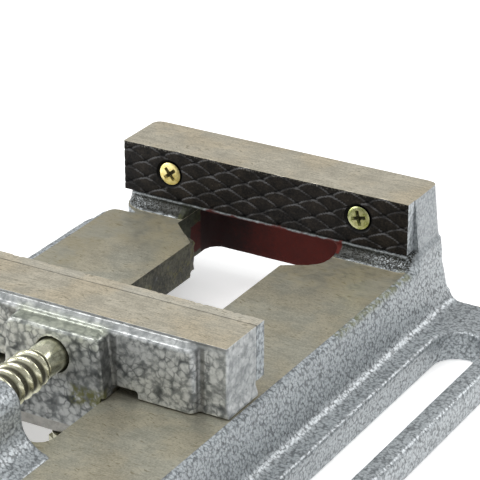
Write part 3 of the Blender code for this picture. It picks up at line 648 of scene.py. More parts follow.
@dataclass(frozen=True)
class Casting:
    """Painted iron casting, ground on its working faces."""

    name: str
    ground: tuple[Box, ...]  # boxes that hold the ground faces
    # where the dark cast skin shows, and painted shade where it fills a bore
    raw_skin_and_shade: tuple[Box, ...] = ()
    primed: tuple[Box, ...] = ()
    stained: tuple[Box, ...] = ()
    speckled_shade: tuple[Box, ...] = ()  # where shade is painted in, dark and flecked with the iron's colour
    shade_and_dark_edge: tuple[Box, ...] = ()  # painted shade in concave corners beside raised parts, and dark lines along edges
    tarnished: tuple[Box, ...] = ()  # where it went yellow-green
    faint_and_shaded: tuple[Box, ...] = ()  # where its pattern is faint and its tone darker, as painted shade
    dry: tuple[Box, ...] = ()  # where it isn't glossy
    yellowed: tuple[Box, ...] = ()  # where it is a little yellow all over
    paint: HammeredPaint = HammeredPaint()
    iron: GroundIron = GroundIron()
    # colour of the painted shade in corners and of the dark edge lines
    sag: RGB = (0.055, 0.056, 0.052)
    tarnish: RGB = (0.16, 0.16, 0.035)
    yellow: RGB = (0.97, 1.0, 0.82)  # what the yellowed paint keeps of its colour

    def material(self) -> bpy.types.Material:
        """Lay iron, primer and cast skin over the paint where each one shows; the cast skin also stands in for
        painted shade in a bore.

        Returns:
            The material.
        """
        tree = Tree(self.name)
        loose = tree.wander(tree.place, 3.0, 0.9)
        look = self.worn_paint(tree, loose)
        if self.raw_skin_and_shade:
            look = RawIron().layer(tree).over(look, loose.within(self.raw_skin_and_shade, 0.5))
        if self.primed:
            look = RedPrimer().layer(tree).over(look, loose.within(self.primed, 0.3))
        stain = loose.within(self.stained, 5.0) if self.stained else None
        ground = tree.wander(tree.place, 1.5, 0.03).within(self.ground, 0.04)
        return self.iron.layer(tree, stain).over(look, ground).finished(specular=0.4)

    def worn_paint(self, tree: Tree, loose: Arrow) -> Layer:
        """Work out the paint with its faint, dry and discoloured places, and the shade and highlights painted
        into it.

        Args:
            tree: The material's tree.
            loose: The places to test where a mask's edge is wavy.

        Returns:
            The paint's layer.
        """
        close = tree.wander(tree.place, 1.2, 0.25)
        look = self.paint.layer(tree, loose.within(self.faint_and_shaded, 1.5) if self.faint_and_shaded else None)
        edge_wear_and_highlight = tree.node("ShaderNodeNewGeometry").value("Pointiness").step(0.52, 0.58)
        # painted shade under the fixed jaw plate: dark and flecked, darkest in the middle, lifted on convex
        # edges
        if self.speckled_shade:
            fleck = tree.noise(tree.place, 0.5, 3.0, 0.7).value().step(0.60, 0.47)
            middle = abs(tree.place.part("X")).step(47.0, 34.0)
            dark = loose.within(self.speckled_shade, 0.5) * (0.20 + 0.70 * middle).most(fleck)
            dark = dark * (1 - 0.85 * edge_wear_and_highlight)
            look.tone = dark.tint(look.tone, RawIron().dark)
            look.coat = look.coat * (1 - dark)
        # convex edges paler: rubbed paint, and a painted highlight
        look.tone = (edge_wear_and_highlight * 0.30).tint(look.tone, self.paint.pale)
        if self.dry:
            gone = close.within(self.dry, 0.2)
            look.coat = look.coat * (1 - gone)
            look.rough = gone.blend(look.rough, 0.65)
        if self.yellowed:
            look.tone = look.tone.times(self.yellow, loose.within(self.yellowed, 1.6))
        # painted shade in concave corners, and dark edge lines
        if self.shade_and_dark_edge:
            look.tone = (close.within(self.shade_and_dark_edge, 0.35) * 0.62).tint(look.tone, self.sag)
        if self.tarnished:
            spots = tree.noise(tree.place, 2.0, 3.0, 0.6).value().step(0.36, 0.56)
            green = loose.within(self.tarnished, 1.5) * spots
            look.tone = (green * 0.85).tint(look.tone, self.tarnish)
        return look


# Mesh building


def spot(x: float, y: float, z: float) -> Vector:
    """Turn a point of the vise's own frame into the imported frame's metres."""
    return (Vector((x, y, z)) + DATUM) * MM


@dataclass
class Shape:
    """Points and faces of a mesh, in millimetres in the vise's own frame."""

    points: list[Vector] = field(default_factory=list)
    faces: list[tuple[int, ...]] = field(default_factory=list)

    def add(self, points: Iterable[Vector]) -> list[int]:
        """Add points.

        Args:
            points: The new points.

        Returns:
            Their numbers.
        """
        first = len(self.points)
        self.points.extend(Vector(point) for point in points)
        return list(range(first, len(self.points)))

    @staticmethod
    def through(rings: Sequence[Sequence[Vector]]) -> "Shape":
        """Join rings of points with faces and close both ends.

        Args:
            rings: Rings with the same number of points, in order.

        Returns:
            The closed shape.
        """
        shape = Shape()
        numbers = [shape.add(ring) for ring in rings]
        count = len(numbers[0])
        for low, high in zip(numbers, numbers[1:]):
            for i in range(count):
                j = (i + 1) % count
                shape.faces.append((low[i], low[j], high[j], high[i]))
        shape.faces.append(tuple(reversed(numbers[0])))
        shape.faces.append(tuple(numbers[-1]))
        return shape

    def add_to(self, work: bmesh.types.BMesh) -> None:
        """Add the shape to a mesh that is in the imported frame.

        Args:
            work: The mesh.
        """
        corners = [work.verts.new(spot(*point)) for point in self.points]
        for face in self.faces:
            work.faces.new([corners[number] for number in face])

    def moved(self, matrix: Matrix) -> "Shape":
        """Place the shape, drawn about its own origin, by a matrix."""
        return Shape([matrix @ point for point in self.points], list(self.faces))

    def piece(self, name: str, sharp: float = 35.0) -> bpy.types.Object:
        """Make the object.

        Args:
            name: Its name.
            sharp: Edges that turn by more than this many degrees stay sharp.

        Returns:
            The object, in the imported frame.
        """
        mesh = bpy.data.meshes.new(name)
        mesh.from_pydata([spot(*point) for point in self.points], [], self.faces)
        made = bpy.data.objects.new(name, mesh)
        bpy.context.scene.collection.objects.link(made)
        tidy(made, sharp)
        return made


def tidy(made: bpy.types.Object, sharp: float) -> None:
    """Turn an object's faces outwards and shade it.

    Args:
        made: The object.
        sharp: Edges that turn by more than this many degrees stay sharp.
    """
    work = bmesh.new()
    work.from_mesh(made.data)
    bmesh.ops.recalc_face_normals(work, faces=work.faces)
    work.to_mesh(made.data)
    work.free()
    made.data.shade_smooth()
    made.data.set_sharp_from_angle(angle=math.radians(sharp))


def settled(made: bpy.types.Object) -> None:
    """Apply an object's modifiers to its mesh.

    Args:
        made: The object.
    """
    scene_graph = bpy.context.evaluated_depsgraph_get()
    mesh = bpy.data.meshes.new_from_object(made.evaluated_get(scene_graph))
    made.modifiers.clear()
    old, made.data = made.data, mesh
    bpy.data.meshes.remove(old)


def cut(made: bpy.types.Object, cutter: bpy.types.Object, sharp: float = 35.0) -> None:
    """Cut one object out of another and delete the cutter.

    Args:
        made: The object that is cut.
        cutter: What is taken away.
        sharp: Edges that turn by more than this many degrees stay sharp.
    """
    work = made.modifiers.new("cut", "BOOLEAN")
    work.operation, work.solver, work.object = "DIFFERENCE", "EXACT", cutter
    settled(made)
    bpy.data.objects.remove(cutter)
    tidy(made, sharp)


def turned(profile: Sequence[tuple[float, float]], sides: int = 48) -> Shape:
    """Turn a profile about the z axis.

    Args:
        profile: Radius and height of each ring, from bottom to top.
        sides: Faces round it.

    Returns:
        The turned shape about its own origin.
    """
    angles = [2 * math.pi * i / sides for i in range(sides)]
    return Shape.through([[Vector((r * math.cos(a), r * math.sin(a), h)) for a in angles] for r, h in profile])


def along_y(x: float, y: float, z: float, way: Facing) -> Matrix:
    """Stand a shape's own z axis along y at a point, looking the way given."""
    return Matrix.Translation((x, y, z)) @ Matrix.Rotation(math.radians(-90 * way.value), 4, "X")


def along_x(x: float, y: float, z: float) -> Matrix:
    """Lay a shape's own z axis along x at a point."""
    return Matrix.Translation((x, y, z)) @ Matrix.Rotation(math.radians(90), 4, "Y")


def dress(made: bpy.types.Object, material: bpy.types.Material, body: Body, *nodes: str) -> bpy.types.Object:
    """Give a piece its material and its body, and hide the nodes that it stands for.

    Args:
        made: The piece.
        material: Its finish.
        body: The body that it moves with.
        nodes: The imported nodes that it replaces.

    Returns:
        The piece.
    """
    made.data.materials.clear()
    made.data.materials.append(material)
    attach(made, body.value)
    if nodes:
        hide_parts(*nodes)
    log.info("%s: %d faces, on %s", made.name, len(made.data.polygons), body.value)
    return made


def keep(node: str, material: bpy.types.Material, edge: float = 0.0) -> None:
    """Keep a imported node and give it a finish.

    Args:
        node: The node's name.
        material: Its finish.
        edge: Width of the rounding on its edges.
    """
    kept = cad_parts[node]
    kept.data.materials.clear()
    kept.data.materials.append(material)
    if edge:
        work = kept.modifiers.new("edges", "BEVEL")
        work.width, work.segments, work.limit_method = edge * MM, 2, "ANGLE"
        work.angle_limit = math.radians(40)
    log.info("%s: kept from the packed model", node)


# Castings


@dataclass(frozen=True)
class Flash:
    """A rib or a lump of iron left on a casting: an outline drawn across an axis, with wavy sides."""

    outline: tuple[tuple[float, float], ...]
    axis: str  # X or Z
    start: float
    end: float
    wave: float = 0.2
    spacing: float = 1.5

    def shape(self) -> Shape:
        """Draw the rib.

        Returns:
            Its closed shape.
        """
        steps = max(2, round((self.end - self.start) / self.spacing))
        rings = []
        for k in range(steps + 1):
            along = self.start + (self.end - self.start) * k / steps
            ring = []
            for number, (a, b) in enumerate(self.outline):
                push = self.wave * noise.noise(Vector((a * 0.4 + number, b * 0.4, along * 0.5)))
                place = (along, a + push, b + push) if self.axis == "X" else (a + push, b + push, along)
                ring.append(Vector(place))
            rings.append(ring)
        return Shape.through(rings)


@dataclass
class CastPiece:
    """A casting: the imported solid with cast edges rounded, skin uneven and working faces flat."""

    node: str
    body: Body
    finish: Casting
    levels: tuple[tuple[int, float, Point, Point], ...]  # axis, level and the box of each flat face
    flashes: tuple[Flash, ...] = ()
    voxel: float = 0.5
    rounds: int = 4
    unevenness: float = 0.06
    swell: float = 1 / 0.16  # width of the skin's broad waves
    ripple: float = 1 / 0.45  # width of its fine ones
    reach: float = 0.42  # what lies this close to a flat face's level is put on it

    def build(self) -> bpy.types.Object:
        """Make and dress the casting.

        Returns:
            The piece.
        """
        made = bpy.data.objects.new(f"{self.node}_iron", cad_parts[self.node].data.copy())
        bpy.context.scene.collection.objects.link(made)
        if self.flashes:
            grown = bmesh.new()
            grown.from_mesh(made.data)
            for flash in self.flashes:
                flash.shape().add_to(grown)
            bmesh.ops.recalc_face_normals(grown, faces=grown.faces)
            grown.to_mesh(made.data)
            grown.free()
        work = made.modifiers.new("cast", "REMESH")
        work.mode, work.voxel_size, work.adaptivity = "VOXEL", self.voxel * MM, 0.0
        soften = made.modifiers.new("soften", "SMOOTH")
        soften.factor, soften.iterations = 0.5, self.rounds
        settled(made)
        self.weather(made.data)
        made.data.shade_smooth()
        made.data.set_sharp_from_angle(angle=math.radians(50))
        return dress(made, self.finish.material(), self.body, self.node)

    def weather(self, mesh: bpy.types.Mesh) -> None:
        """Make the cast skin uneven and the ground faces flat.

        Args:
            mesh: The casting's mesh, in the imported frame.
        """
        count = len(mesh.vertices)
        places = np.empty(count * 3)
        normals = np.empty(count * 3)
        mesh.vertices.foreach_get("co", places)
        mesh.vertices.foreach_get("normal", normals)
        places = places.reshape(-1, 3) / MM - np.array(DATUM)
        normals = normals.reshape(-1, 3)
        broad = np.array([noise.noise(Vector(place) / self.swell) for place in places])
        fine = np.array([noise.noise(Vector(place) / self.ripple) for place in places])
        swell = broad + 0.5 * fine
        pushed = places + normals * (swell * self.unevenness)[:, None]
        flats = []
        for axis, level, low, high in self.levels:
            inside = np.all((places > np.array(low)) & (places < np.array(high)), axis=1)
            flats.append((inside & (np.abs(places[:, axis] - level) < self.reach), axis, level))
        for near, _, _ in flats:
            pushed[near] = places[near]
        for near, axis, level in flats:
            pushed[near, axis] = level
        mesh.vertices.foreach_set("co", ((pushed + np.array(DATUM)) * MM).ravel())
        mesh.update()


# Jaw plates and their screws


@dataclass
class PlateScrew:
    """A countersunk screw with a cross recess."""

    x: float
    height: float
    face: float  # y of the head's face
    way: Facing
    turn: float  # of its cross, in degrees
    head: float = 7.4
    head_depth: float = 2.0
    shank: float = 4.0
    length: float = 12.0
    cross: float = 4.7  # from tip to tip of its recess
    wing: float = 1.15  # width of each slot of it
    depth: float = 2.0

    def build(self, name: str, material: bpy.types.Material, body: Body) -> bpy.types.Object:
        """Make and dress the screw.

        Args:
            name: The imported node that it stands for.
            material: Its finish.
            body: The body that it moves with.

        Returns:
            The piece.
        """
        r, s = self.head / 2, self.shank / 2
        profile = [
            (s - 0.4, -self.length),
            (s, 0.5 - self.length),
            (s, -self.head_depth),
            (r - 0.12, -0.28),
            (r, -0.14),
            (r - 0.02, -0.05),
            (r - 0.16, 0.02),
            (r * 0.72, 0.13),
            (r * 0.42, 0.19),
            (0.05, 0.21),
        ]
        matrix = along_y(self.x, self.face, self.height, self.way)
        made = turned(profile, 56).moved(matrix).piece(f"{name}_full", 30)
        twist = matrix @ Matrix.Rotation(math.radians(self.turn), 4, "Z")
        cut(made, self.recess().moved(twist).piece("recess"), 30)
        return dress(made, material, body, name)

    def recess(self) -> Shape:
        """Draw the cross recess as rings that shrink with depth.

        Returns:
            The cutter about the middle of the head's face.
        """
        rings = []
        for height, share in ((0.6, 1.04), (0.0, 1.0), (-self.depth * 0.6, 0.72), (-self.depth, 0.30)):
            reach, half = self.cross / 2 * share, self.wing / 2 * (0.45 + 0.55 * share)
            ring = []
            for quarter in range(4):
                spin = Matrix.Rotation(quarter * math.pi / 2, 4, "Z")
                core = half + 0.22 * share
                outline = ((reach, -half), (reach + 0.12, 0.0), (reach, half), (core, half), (half, core))
                ring.extend(spin @ Vector((u, v, height)) for u, v in outline)
            rings.append(ring)
        return Shape.through(rings)


@dataclass
class JawPlate:
    """A hardened jaw plate with rows of scale-like teeth, and its two screws."""

    node: str
    screws: tuple[str, str]
    face: float  # y of its gripping face
    way: Facing
    body: Body
    turns: tuple[float, float]
    half: float = 50.0  # half its length
    low: float = 4.5
    high: float = 21.0
    thick: float = 4.37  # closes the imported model's seam to the casting
    tooth: float = 12.0  # a tooth's length along the jaw
    row: float = 5.6  # a tooth's height
    relief: float = 0.8
    upper_curve: float = 1.38  # 1 gives a diamond's straight edges and 2 an ellipse
    lower_curve: float = 1.08
    groove: float = 0.28  # share of a tooth's half width that its sloping edge takes
    slant: float = 0.30  # how much a tooth leans out at its top
    wobble: float = 0.35
    step: float = 0.36  # of the mesh
    margin: float = 0.4  # width of the bevel round the face
    bevel: float = 0.25  # its depth
    seamed: bool = False  # whether dirt draws a line on top where it meets the casting
    zincs: tuple[Plating, Plating] = (Plating(), GREEN_ZINC)
    iron: GroundIron = GroundIron(stained=0.2)
    spacing: float = 66.6
    screw_height: float = 12.9
    sink: float = 9.6  # diameter of the screw holes' mouth
    sunk: float = 0.5  # how far the screws' heads lie below the face

    def build(self) -> None:
        """Make the plate and its screws."""
        made = self.blank().piece(f"{self.node}_toothed", 25)
        for side in (-1, 1):
            cut(made, self.countersink(side * self.spacing / 2), 25)
        dress(made, self.finish(), self.body, self.node)
        seat = self.face - self.way.value * self.sunk
        for name, side, turn, zinc in zip(self.screws, (-1, 1), self.turns, self.zincs):
            tree = Tree(f"{name}_zinc")
            # painted shade down in the cross recess
            recess = tree.place.part("Y").step(seat - self.way.value * 0.15, seat - self.way.value * 0.9)
            screw = PlateScrew(side * self.spacing / 2, self.screw_height, seat, self.way, turn)
            screw.build(name, zinc.layer(tree, recess).finished(), self.body)

    def rise(self, x: float, z: float) -> float:
        """Give the height of the teeth over the plate's face.

        Args:
            x: Place along the jaw.
            z: Height above the ways.

        Returns:
            How far the tooth stands above the bottom of the grooves.
        """
        bend = self.wobble * noise.noise(Vector((x * 0.12, z * 0.3, self.face)))
        best = 0.0
        row = round((z - self.low) / (self.row / 2))
        for j in (row - 1, row, row + 1):
            shift = self.tooth / 2 if j % 2 else 0.0
            i = round((x + bend - shift) / self.tooth)
            across = abs(x + bend - shift - i * self.tooth) / (self.tooth / 2)
            up = (z + bend - self.low - j * self.row / 2) / (self.row / 2)
            curve = self.upper_curve if up > 0 else self.lower_curve
            reach = across**curve + abs(up) ** curve
            rim = min(1.0, max(0.0, (1.0 - reach) / self.groove))
            lean = (1.0 - self.slant) + self.slant * max(-1.0, min(1.0, up))
            best = max(best, rim * rim * (3 - 2 * rim) * lean)
        return best * self.relief

    def blank(self) -> Shape:
        """Draw the plate without its screw holes.

        Returns:
            The toothed block.
        """
        columns = round(2 * self.half / self.step)
        rows = round((self.high - self.low) / self.step)
        xs = [-self.half + 2 * self.half * i / columns for i in range(columns + 1)]
        zs = [self.low + (self.high - self.low) * j / rows for j in range(rows + 1)]
        shape = Shape()
        out = self.way.value
        grid = []
        for z in zs:
            line = []
            for x in xs:
                rim = min(self.half - abs(x), z - self.low, self.high - z)
                height = self.rise(x, z) - self.relief
                if rim < self.margin:
                    height = min(height, -self.bevel * (1 - rim / self.margin))
                line.append(Vector((x, self.face + out * height, z)))
            grid.append(shape.add(line))
        back = self.face - out * self.thick
        left = shape.add(Vector((-self.half, back, z)) for z in (self.low, self.high))
        right = shape.add(Vector((self.half, back, z)) for z in (self.low, self.high))
        for j in range(rows):
            for i in range(columns):
                shape.faces.append((grid[j][i], grid[j][i + 1], grid[j + 1][i + 1], grid[j + 1][i]))
        shape.faces.append((*reversed(grid[0]), left[0], right[0]))
        shape.faces.append((*grid[-1], right[-1], left[-1]))
        shape.faces.append((*(line[0] for line in grid), *reversed(left)))
        shape.faces.append((*(line[-1] for line in reversed(grid)), *right))
        shape.faces.append((left[0], left[1], right[1], right[0]))
        return shape

    def countersink(self, x: float) -> bpy.types.Object:
        """Make the cutter of one screw hole.

        Args:
            x: Its place along the jaw.

        Returns:
            The cutter.
        """
        r = self.sink / 2
        bore = [(2.2, -self.thick - 1), (2.2, -3.1)]
        mouth = [(r - 0.5, -self.sunk - 0.3), (r, -self.sunk), (r, 1.0)]
        placed = along_y(x, self.face, self.screw_height, self.way)
        return turned(bore + mouth, 56).moved(placed).piece("sink")

    def finish(self) -> bpy.types.Material:
        """Blacken the gripping face, leave the ground top bare and carry the paint over the ends.

        Returns:
            The material.
        """
        tree = Tree(f"{self.node}_finish")
        oxide = BlackOxide(self.face, self.relief, self.high).layer(tree)
        ends = abs(tree.place.part("X")).step(self.half - 0.12, self.half - 0.03)
        painted = HammeredPaint(cell=1.6, specked=0.3).layer(tree).over(oxide, ends)
        top = tree.place.part("Z").step(self.high - 0.12, self.high - 0.03)
        iron = self.iron.layer(tree)
        if self.seamed:
            back = self.face - self.way.value * self.thick
            dirt = abs(tree.place.part("Y") - back).step(0.55, 0.20) * tree.noise(tree.place, 3.0).value()
            iron.tone = (dirt * 1.2).tint(iron.tone, BlackOxide.rubbed)
        return iron.over(painted, top).finished(specular=0.15)


# Lead screw and handle


@dataclass
class LeadScrew:
    """The lead screw: smooth nose, coarse rounded thread and drilled head."""

    height: float = 9.9
    nose: float = 9.8
    nose_tip: float = -95.0
    groove: float = 7.0  # diameter at the bottom of the pins' groove
    groove_at: float = -98.0
    groove_length: float = 4.2
    thread: float = 11.9
    thread_from: float = -121.0
    head_at: float = -256.6
    pitch: float = 4.0
    depth: float = 1.7
    ridge: float = 0.68  # width of the thread's ridge over the pitch
    fullness: float = 0.7  # below 1 the ridge is rounder at its top
    fade: float = 2.6  # how long the thread takes to rise from the nose
    undercut: float = 1.0  # plain length under the head
    head: float = 18.0
    head_length: float = 22.0
    hole: float = 7.6

    def build(self, zinc: Plating) -> None:
        """Make the screw's three parts.

        Args:
            zinc: Their plating.
        """
        tree = Tree("thread_zinc")
        across, up = tree.place.part("X"), tree.place.part("Z") - self.height
        radius = (across * across + up * up) ** 0.5
        crest = self.thread / 2
        # darker towards the thread's roots: grease and painted shade
        greased_and_shaded = zinc.layer(tree, radius.step(crest - 0.5, crest - 1.2)).finished()
        plain = zinc.layer(Tree("screw_zinc")).finished()
        dress(self.threaded(), greased_and_shaded, Body.SCREW, "lead_screw")
        dress(self.smooth_nose(), plain, Body.SCREW)
        dress(self.drilled_head(), plain, Body.SCREW)

    def threaded(self) -> bpy.types.Object:
        """Wind the thread.

        Returns:
            The threaded part.
        """
        around, along = 56, 12
        length = self.thread_from - self.head_at
        steps = round(length / self.pitch * along)
        crest, root = self.thread / 2, self.thread / 2 - self.depth
        rings = []
        for k in range(steps + 1):
            y = self.thread_from - length * k / steps
            ring = []
            for i in range(around):
                angle = 2 * math.pi * i / around
                phase = (y / self.pitch - i / around) % 1.0
                hill = math.cos(math.pi * min(phase, 1.0 - phase) / self.ridge)
                hill = max(0.0, hill) ** self.fullness
                to_head = (y - self.head_at - self.undercut) / (2 * self.undercut)
                runout = min(1.0, (self.thread_from - y) / self.fade, max(0.0, to_head))
                radius = root + (crest - root) * hill * max(0.0, runout)
                if k == 0:
                    radius = self.nose / 2 - 0.05
                ring.append(Vector((radius * math.sin(angle), y, self.height + radius * math.cos(angle))))
            rings.append(ring)
        return Shape.through(rings).piece("lead_screw_thread", 60)

    def smooth_nose(self) -> bpy.types.Object:
        """Turn the nose with its groove.

        Returns:
            The nose.
        """
        r, half = self.nose / 2, self.groove_length / 2
        start = self.thread_from - 0.6
        tip = self.nose_tip - start
        groove = self.groove_at - start
        profile = [
            (r - 0.2, 0.0),
            (r, 0.2),
            (r, groove - half - 0.3),
            (r - 0.3, groove - half),
            (self.groove / 2, groove - half),
            (self.groove / 2, groove + half),
            (r - 0.3, groove + half),
            (r, groove + half + 0.3),
            (r, tip - 1.2),
            (r - 0.4, tip - 0.4),
            (r - 1.2, tip),
        ]
        shape = turned(profile, 56).moved(along_y(0.0, start, self.height, Facing.BACK))
        return shape.piece("lead_screw_nose", 30)

    def drilled_head(self) -> bpy.types.Object:
        """Turn the head and drill it for the bar.

        Returns:
            The head.
        """
        r, length = self.head / 2, self.head_length
        profile = [
            (r - 2.2, 0.0),
            (r - 1.2, 0.2),
            (r - 0.3, 0.9),
            (r, 1.6),
            (r, length - 2.4),
            (r - 0.25, length - 1.5),
            (r - 1.0, length - 0.6),
            (r - 2.4, length - 0.05),
            (self.thread / 2 - 0.8, length),
        ]
        front = self.head_at - length
        placed = along_y(0.0, front, self.height, Facing.BACK)
        made = turned(profile, 64).moved(placed).piece("lead_screw_head", 30)
        middle = front + length / 2
        bore = self.hole / 2
        mouth = bore + 1.6
        drill = [(mouth, -r - 1.0), (mouth, -r), (bore, 1.2 - r), (bore, r - 1.2), (mouth, r), (mouth, r + 1)]
        cut(made, turned(drill, 40).moved(along_x(0.0, middle, self.height)).piece("drill"), 30)
        return made


@dataclass
class TommyBar:
    """The sliding bar and its two ball knobs."""

    height: float = 9.9
    y: float = -267.6
    bar: float = 7.0
    length: float = 92.0
    knob: float = 13.0
    sunk: float = 7.0  # how far the bar's ends reach into the knobs

    def build(self, steel: bpy.types.Material, zinc: bpy.types.Material) -> None:
        """Make the bar and both knobs.

        Args:
            steel: The knobs' finish.
            zinc: The bar's finish.
        """
        r, half = self.bar / 2, self.length / 2
        inner = half - self.sunk - 0.8
        profile = [(r - 0.8, -half), (r - 0.5, 0.8 - half), (r - 0.5, -inner), (r, 0.6 - inner)]
        profile += [(radius, -height) for radius, height in reversed(profile)]
        made = turned(profile, 40).moved(along_x(0.0, self.y, self.height)).piece("tommy_bar_full", 30)
        dress(made, zinc, Body.HANDLE, "tommy_bar")
        for name, side in (("bar_knob_left", -1), ("bar_knob_right", 1)):
            ball = self.ball().moved(Matrix.Scale(side, 4, (0, 0, 1)))
            centre = side * (half - self.sunk + self.knob / 2 - 0.5)
            made = ball.moved(along_x(centre, self.y, self.height)).piece(f"{name}_turned", 30)
            dress(made, steel, Body.HANDLE, name)

    def ball(self) -> Shape:
        """Turn one knob, its collar towards the bar.

        Returns:
            The knob about its own middle.
        """
        radius = self.knob / 2
        neck = self.bar / 2 + 0.9
        lowest = math.degrees(math.acos(neck / radius))
        profile = [(neck - 0.5, -radius + 0.5), (neck, -radius + 0.7)]
        for i in range(25):
            angle = math.radians(-lowest + (lowest + 80) * i / 24)
            profile.append((radius * math.cos(angle), radius * math.sin(angle)))
        return turned(profile, 48)


# Keeper under the ways


@dataclass
class HexBolt:
    """A hexagon-head bolt that points up, its head below."""

    y: float
    head_top: float
    across: float = 13.0  # the hexagon's flats
    head: float = 5.3  # its height
    shank: float = 8.0
    reach: float = 16.0  # of the shank above the head

    def build(self, name: str, material: bpy.types.Material) -> bpy.types.Object:
        """Make and dress the bolt.

        Args:
            name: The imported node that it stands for.
            material: Its finish.

        Returns:
            The piece.
        """
        flat, sides = self.across / 2, 72
        heights = [
            (self.head_top + self.reach, self.shank / 2 - 0.7, False),
            (self.head_top + self.reach - 0.7, self.shank / 2, False),
            (self.head_top + 0.2, self.shank / 2, False),
            (self.head_top, flat - 0.3, False),
            (self.head_top, flat * 1.155, True),
            (self.head_top - self.head + 1.0, flat * 1.155, True),
            (self.head_top - self.head + 0.45, flat * 1.06, True),
            (self.head_top - self.head, flat * 0.94, True),
        ]
        rings = []
        for z, radius, six in heights:
            ring = []
            for i in range(sides):
                angle = 2 * math.pi * i / sides
                edge = flat / math.cos((angle + math.pi / 6) % (math.pi / 3) - math.pi / 6)
                reach = min(radius, edge) if six else radius
                ring.append(Vector((reach * math.cos(angle), self.y + reach * math.sin(angle), z)))
            rings.append(ring)
        return dress(Shape.through(rings).piece(f"{name}_full", 25), material, Body.JAW, name)


@dataclass
class Keeper:
    """The plate that holds the moving jaw down, its bolts and washers, and the pins at the screw's nose."""

    head_top: float = -19.7
    bolt_back: float = -80.0
    bolt_front: float = -104.0

    def build(self, zinc: bpy.types.Material, steel: bpy.types.Material) -> None:
        """Make the bolts and dress the rest.

        Args:
            zinc: Finish of the bolts and washers.
            steel: Finish of the plate and pins.
        """
        HexBolt(self.bolt_back, self.head_top).build("keeper_bolt_back", zinc)
        HexBolt(self.bolt_front, self.head_top).build("keeper_bolt_front", zinc)
        keep("keeper_plate", steel, 0.4)
        for name in ("keeper_washer_back", "keeper_washer_front"):
            keep(name, zinc, 0.15)
        for name in ("nose_pin_left", "nose_pin_right"):
            keep(name, steel, 0.2)


# Studio


@dataclass(frozen=True)
class Softbox:
    """A square soft light that looks at the vise."""

    name: str
    at: Point  # in metres
    size: float  # of its side, in metres
    power: float  # in watts
    target: Point = (0.0, 0.05, 0.02)

    def hang(self) -> None:
        """Make the light."""
        light = bpy.data.lights.new(self.name, "AREA")
        light.shape, light.size, light.energy = "SQUARE", self.size, self.power
        lamp = bpy.data.objects.new(self.name, light)
        lamp.location = self.at
        lamp.rotation_euler = (Vector(self.target) - Vector(self.at)).to_track_quat("-Z", "Y").to_euler()
        bpy.context.scene.collection.objects.link(lamp)


@dataclass
class Studio:
    """Pale floor, soft lights and the camera at the photograph's angle."""

    eye: Point = (0.31787, -0.43980, 0.32897)  # in metres
    tilt: float = 65.01  # in degrees from straight down
    pan: float = 30.15
    lens: float = 174.825
    daylight: float = 0.46
    softboxes: tuple[Softbox, ...] = (
        Softbox("top", (-0.15, -0.10, 1.30), 1.0, 8.5),
        Softbox("rim", (0.75, 1.35, 0.80), 0.65, 7.0),
        Softbox("side", (1.20, -0.20, 0.55), 0.7, 0.3),
        Softbox("brow", (-0.60, -0.36, 1.05), 0.22, 2.5),
        Softbox("front", (-1.20, -0.90, 0.40), 0.8, 9.0),
    )

    def build(self) -> None:
        """Set the stage."""
        self.floor()
        self.sky()
        for softbox in self.softboxes:
            softbox.hang()
        lens = bpy.data.cameras.new("camera")
        lens.lens, lens.sensor_width, lens.clip_start, lens.clip_end = self.lens, 36.0, 0.01, 20.0
        camera = bpy.data.objects.new("camera", lens)
        camera.location = self.eye
        camera.rotation_euler = (math.radians(self.tilt), 0.0, math.radians(self.pan))
        bpy.context.scene.collection.objects.link(camera)
        bpy.context.scene.camera = camera
        bpy.context.scene.view_settings.view_transform = "Standard"

    def floor(self) -> None:
        """Lay the floor that the vise stands on."""
        radius, bottom, top = 2500.0, -6.0, -0.3
        slab = turned([(radius, bottom), (radius, top)], 64)
        made = slab.moved(Matrix.Translation(-DATUM)).piece("floor")
        tree = Tree("floor_card")
        grain = tree.noise(tree.place, 30.0, 2.0).value()
        tone = grain.tint((0.88, 0.88, 0.88), (0.91, 0.91, 0.91))
        card = Layer(tone, 0.75 + 0.1 * grain, 0.0, 0.02 * grain).finished(specular=0.2, glow=0.45)
        made.data.materials.append(card)

    def sky(self) -> None:
        """Surround the stage with plain white light."""
        world = bpy.data.worlds.new("studio")
        world.use_nodes = True
        ground = world.node_tree.nodes["Background"]
        ground.inputs["Color"].default_value = (1.0, 1.0, 1.0, 1.0)
        ground.inputs["Strength"].default_value = self.daylight
        bpy.context.scene.world = world


# The vise

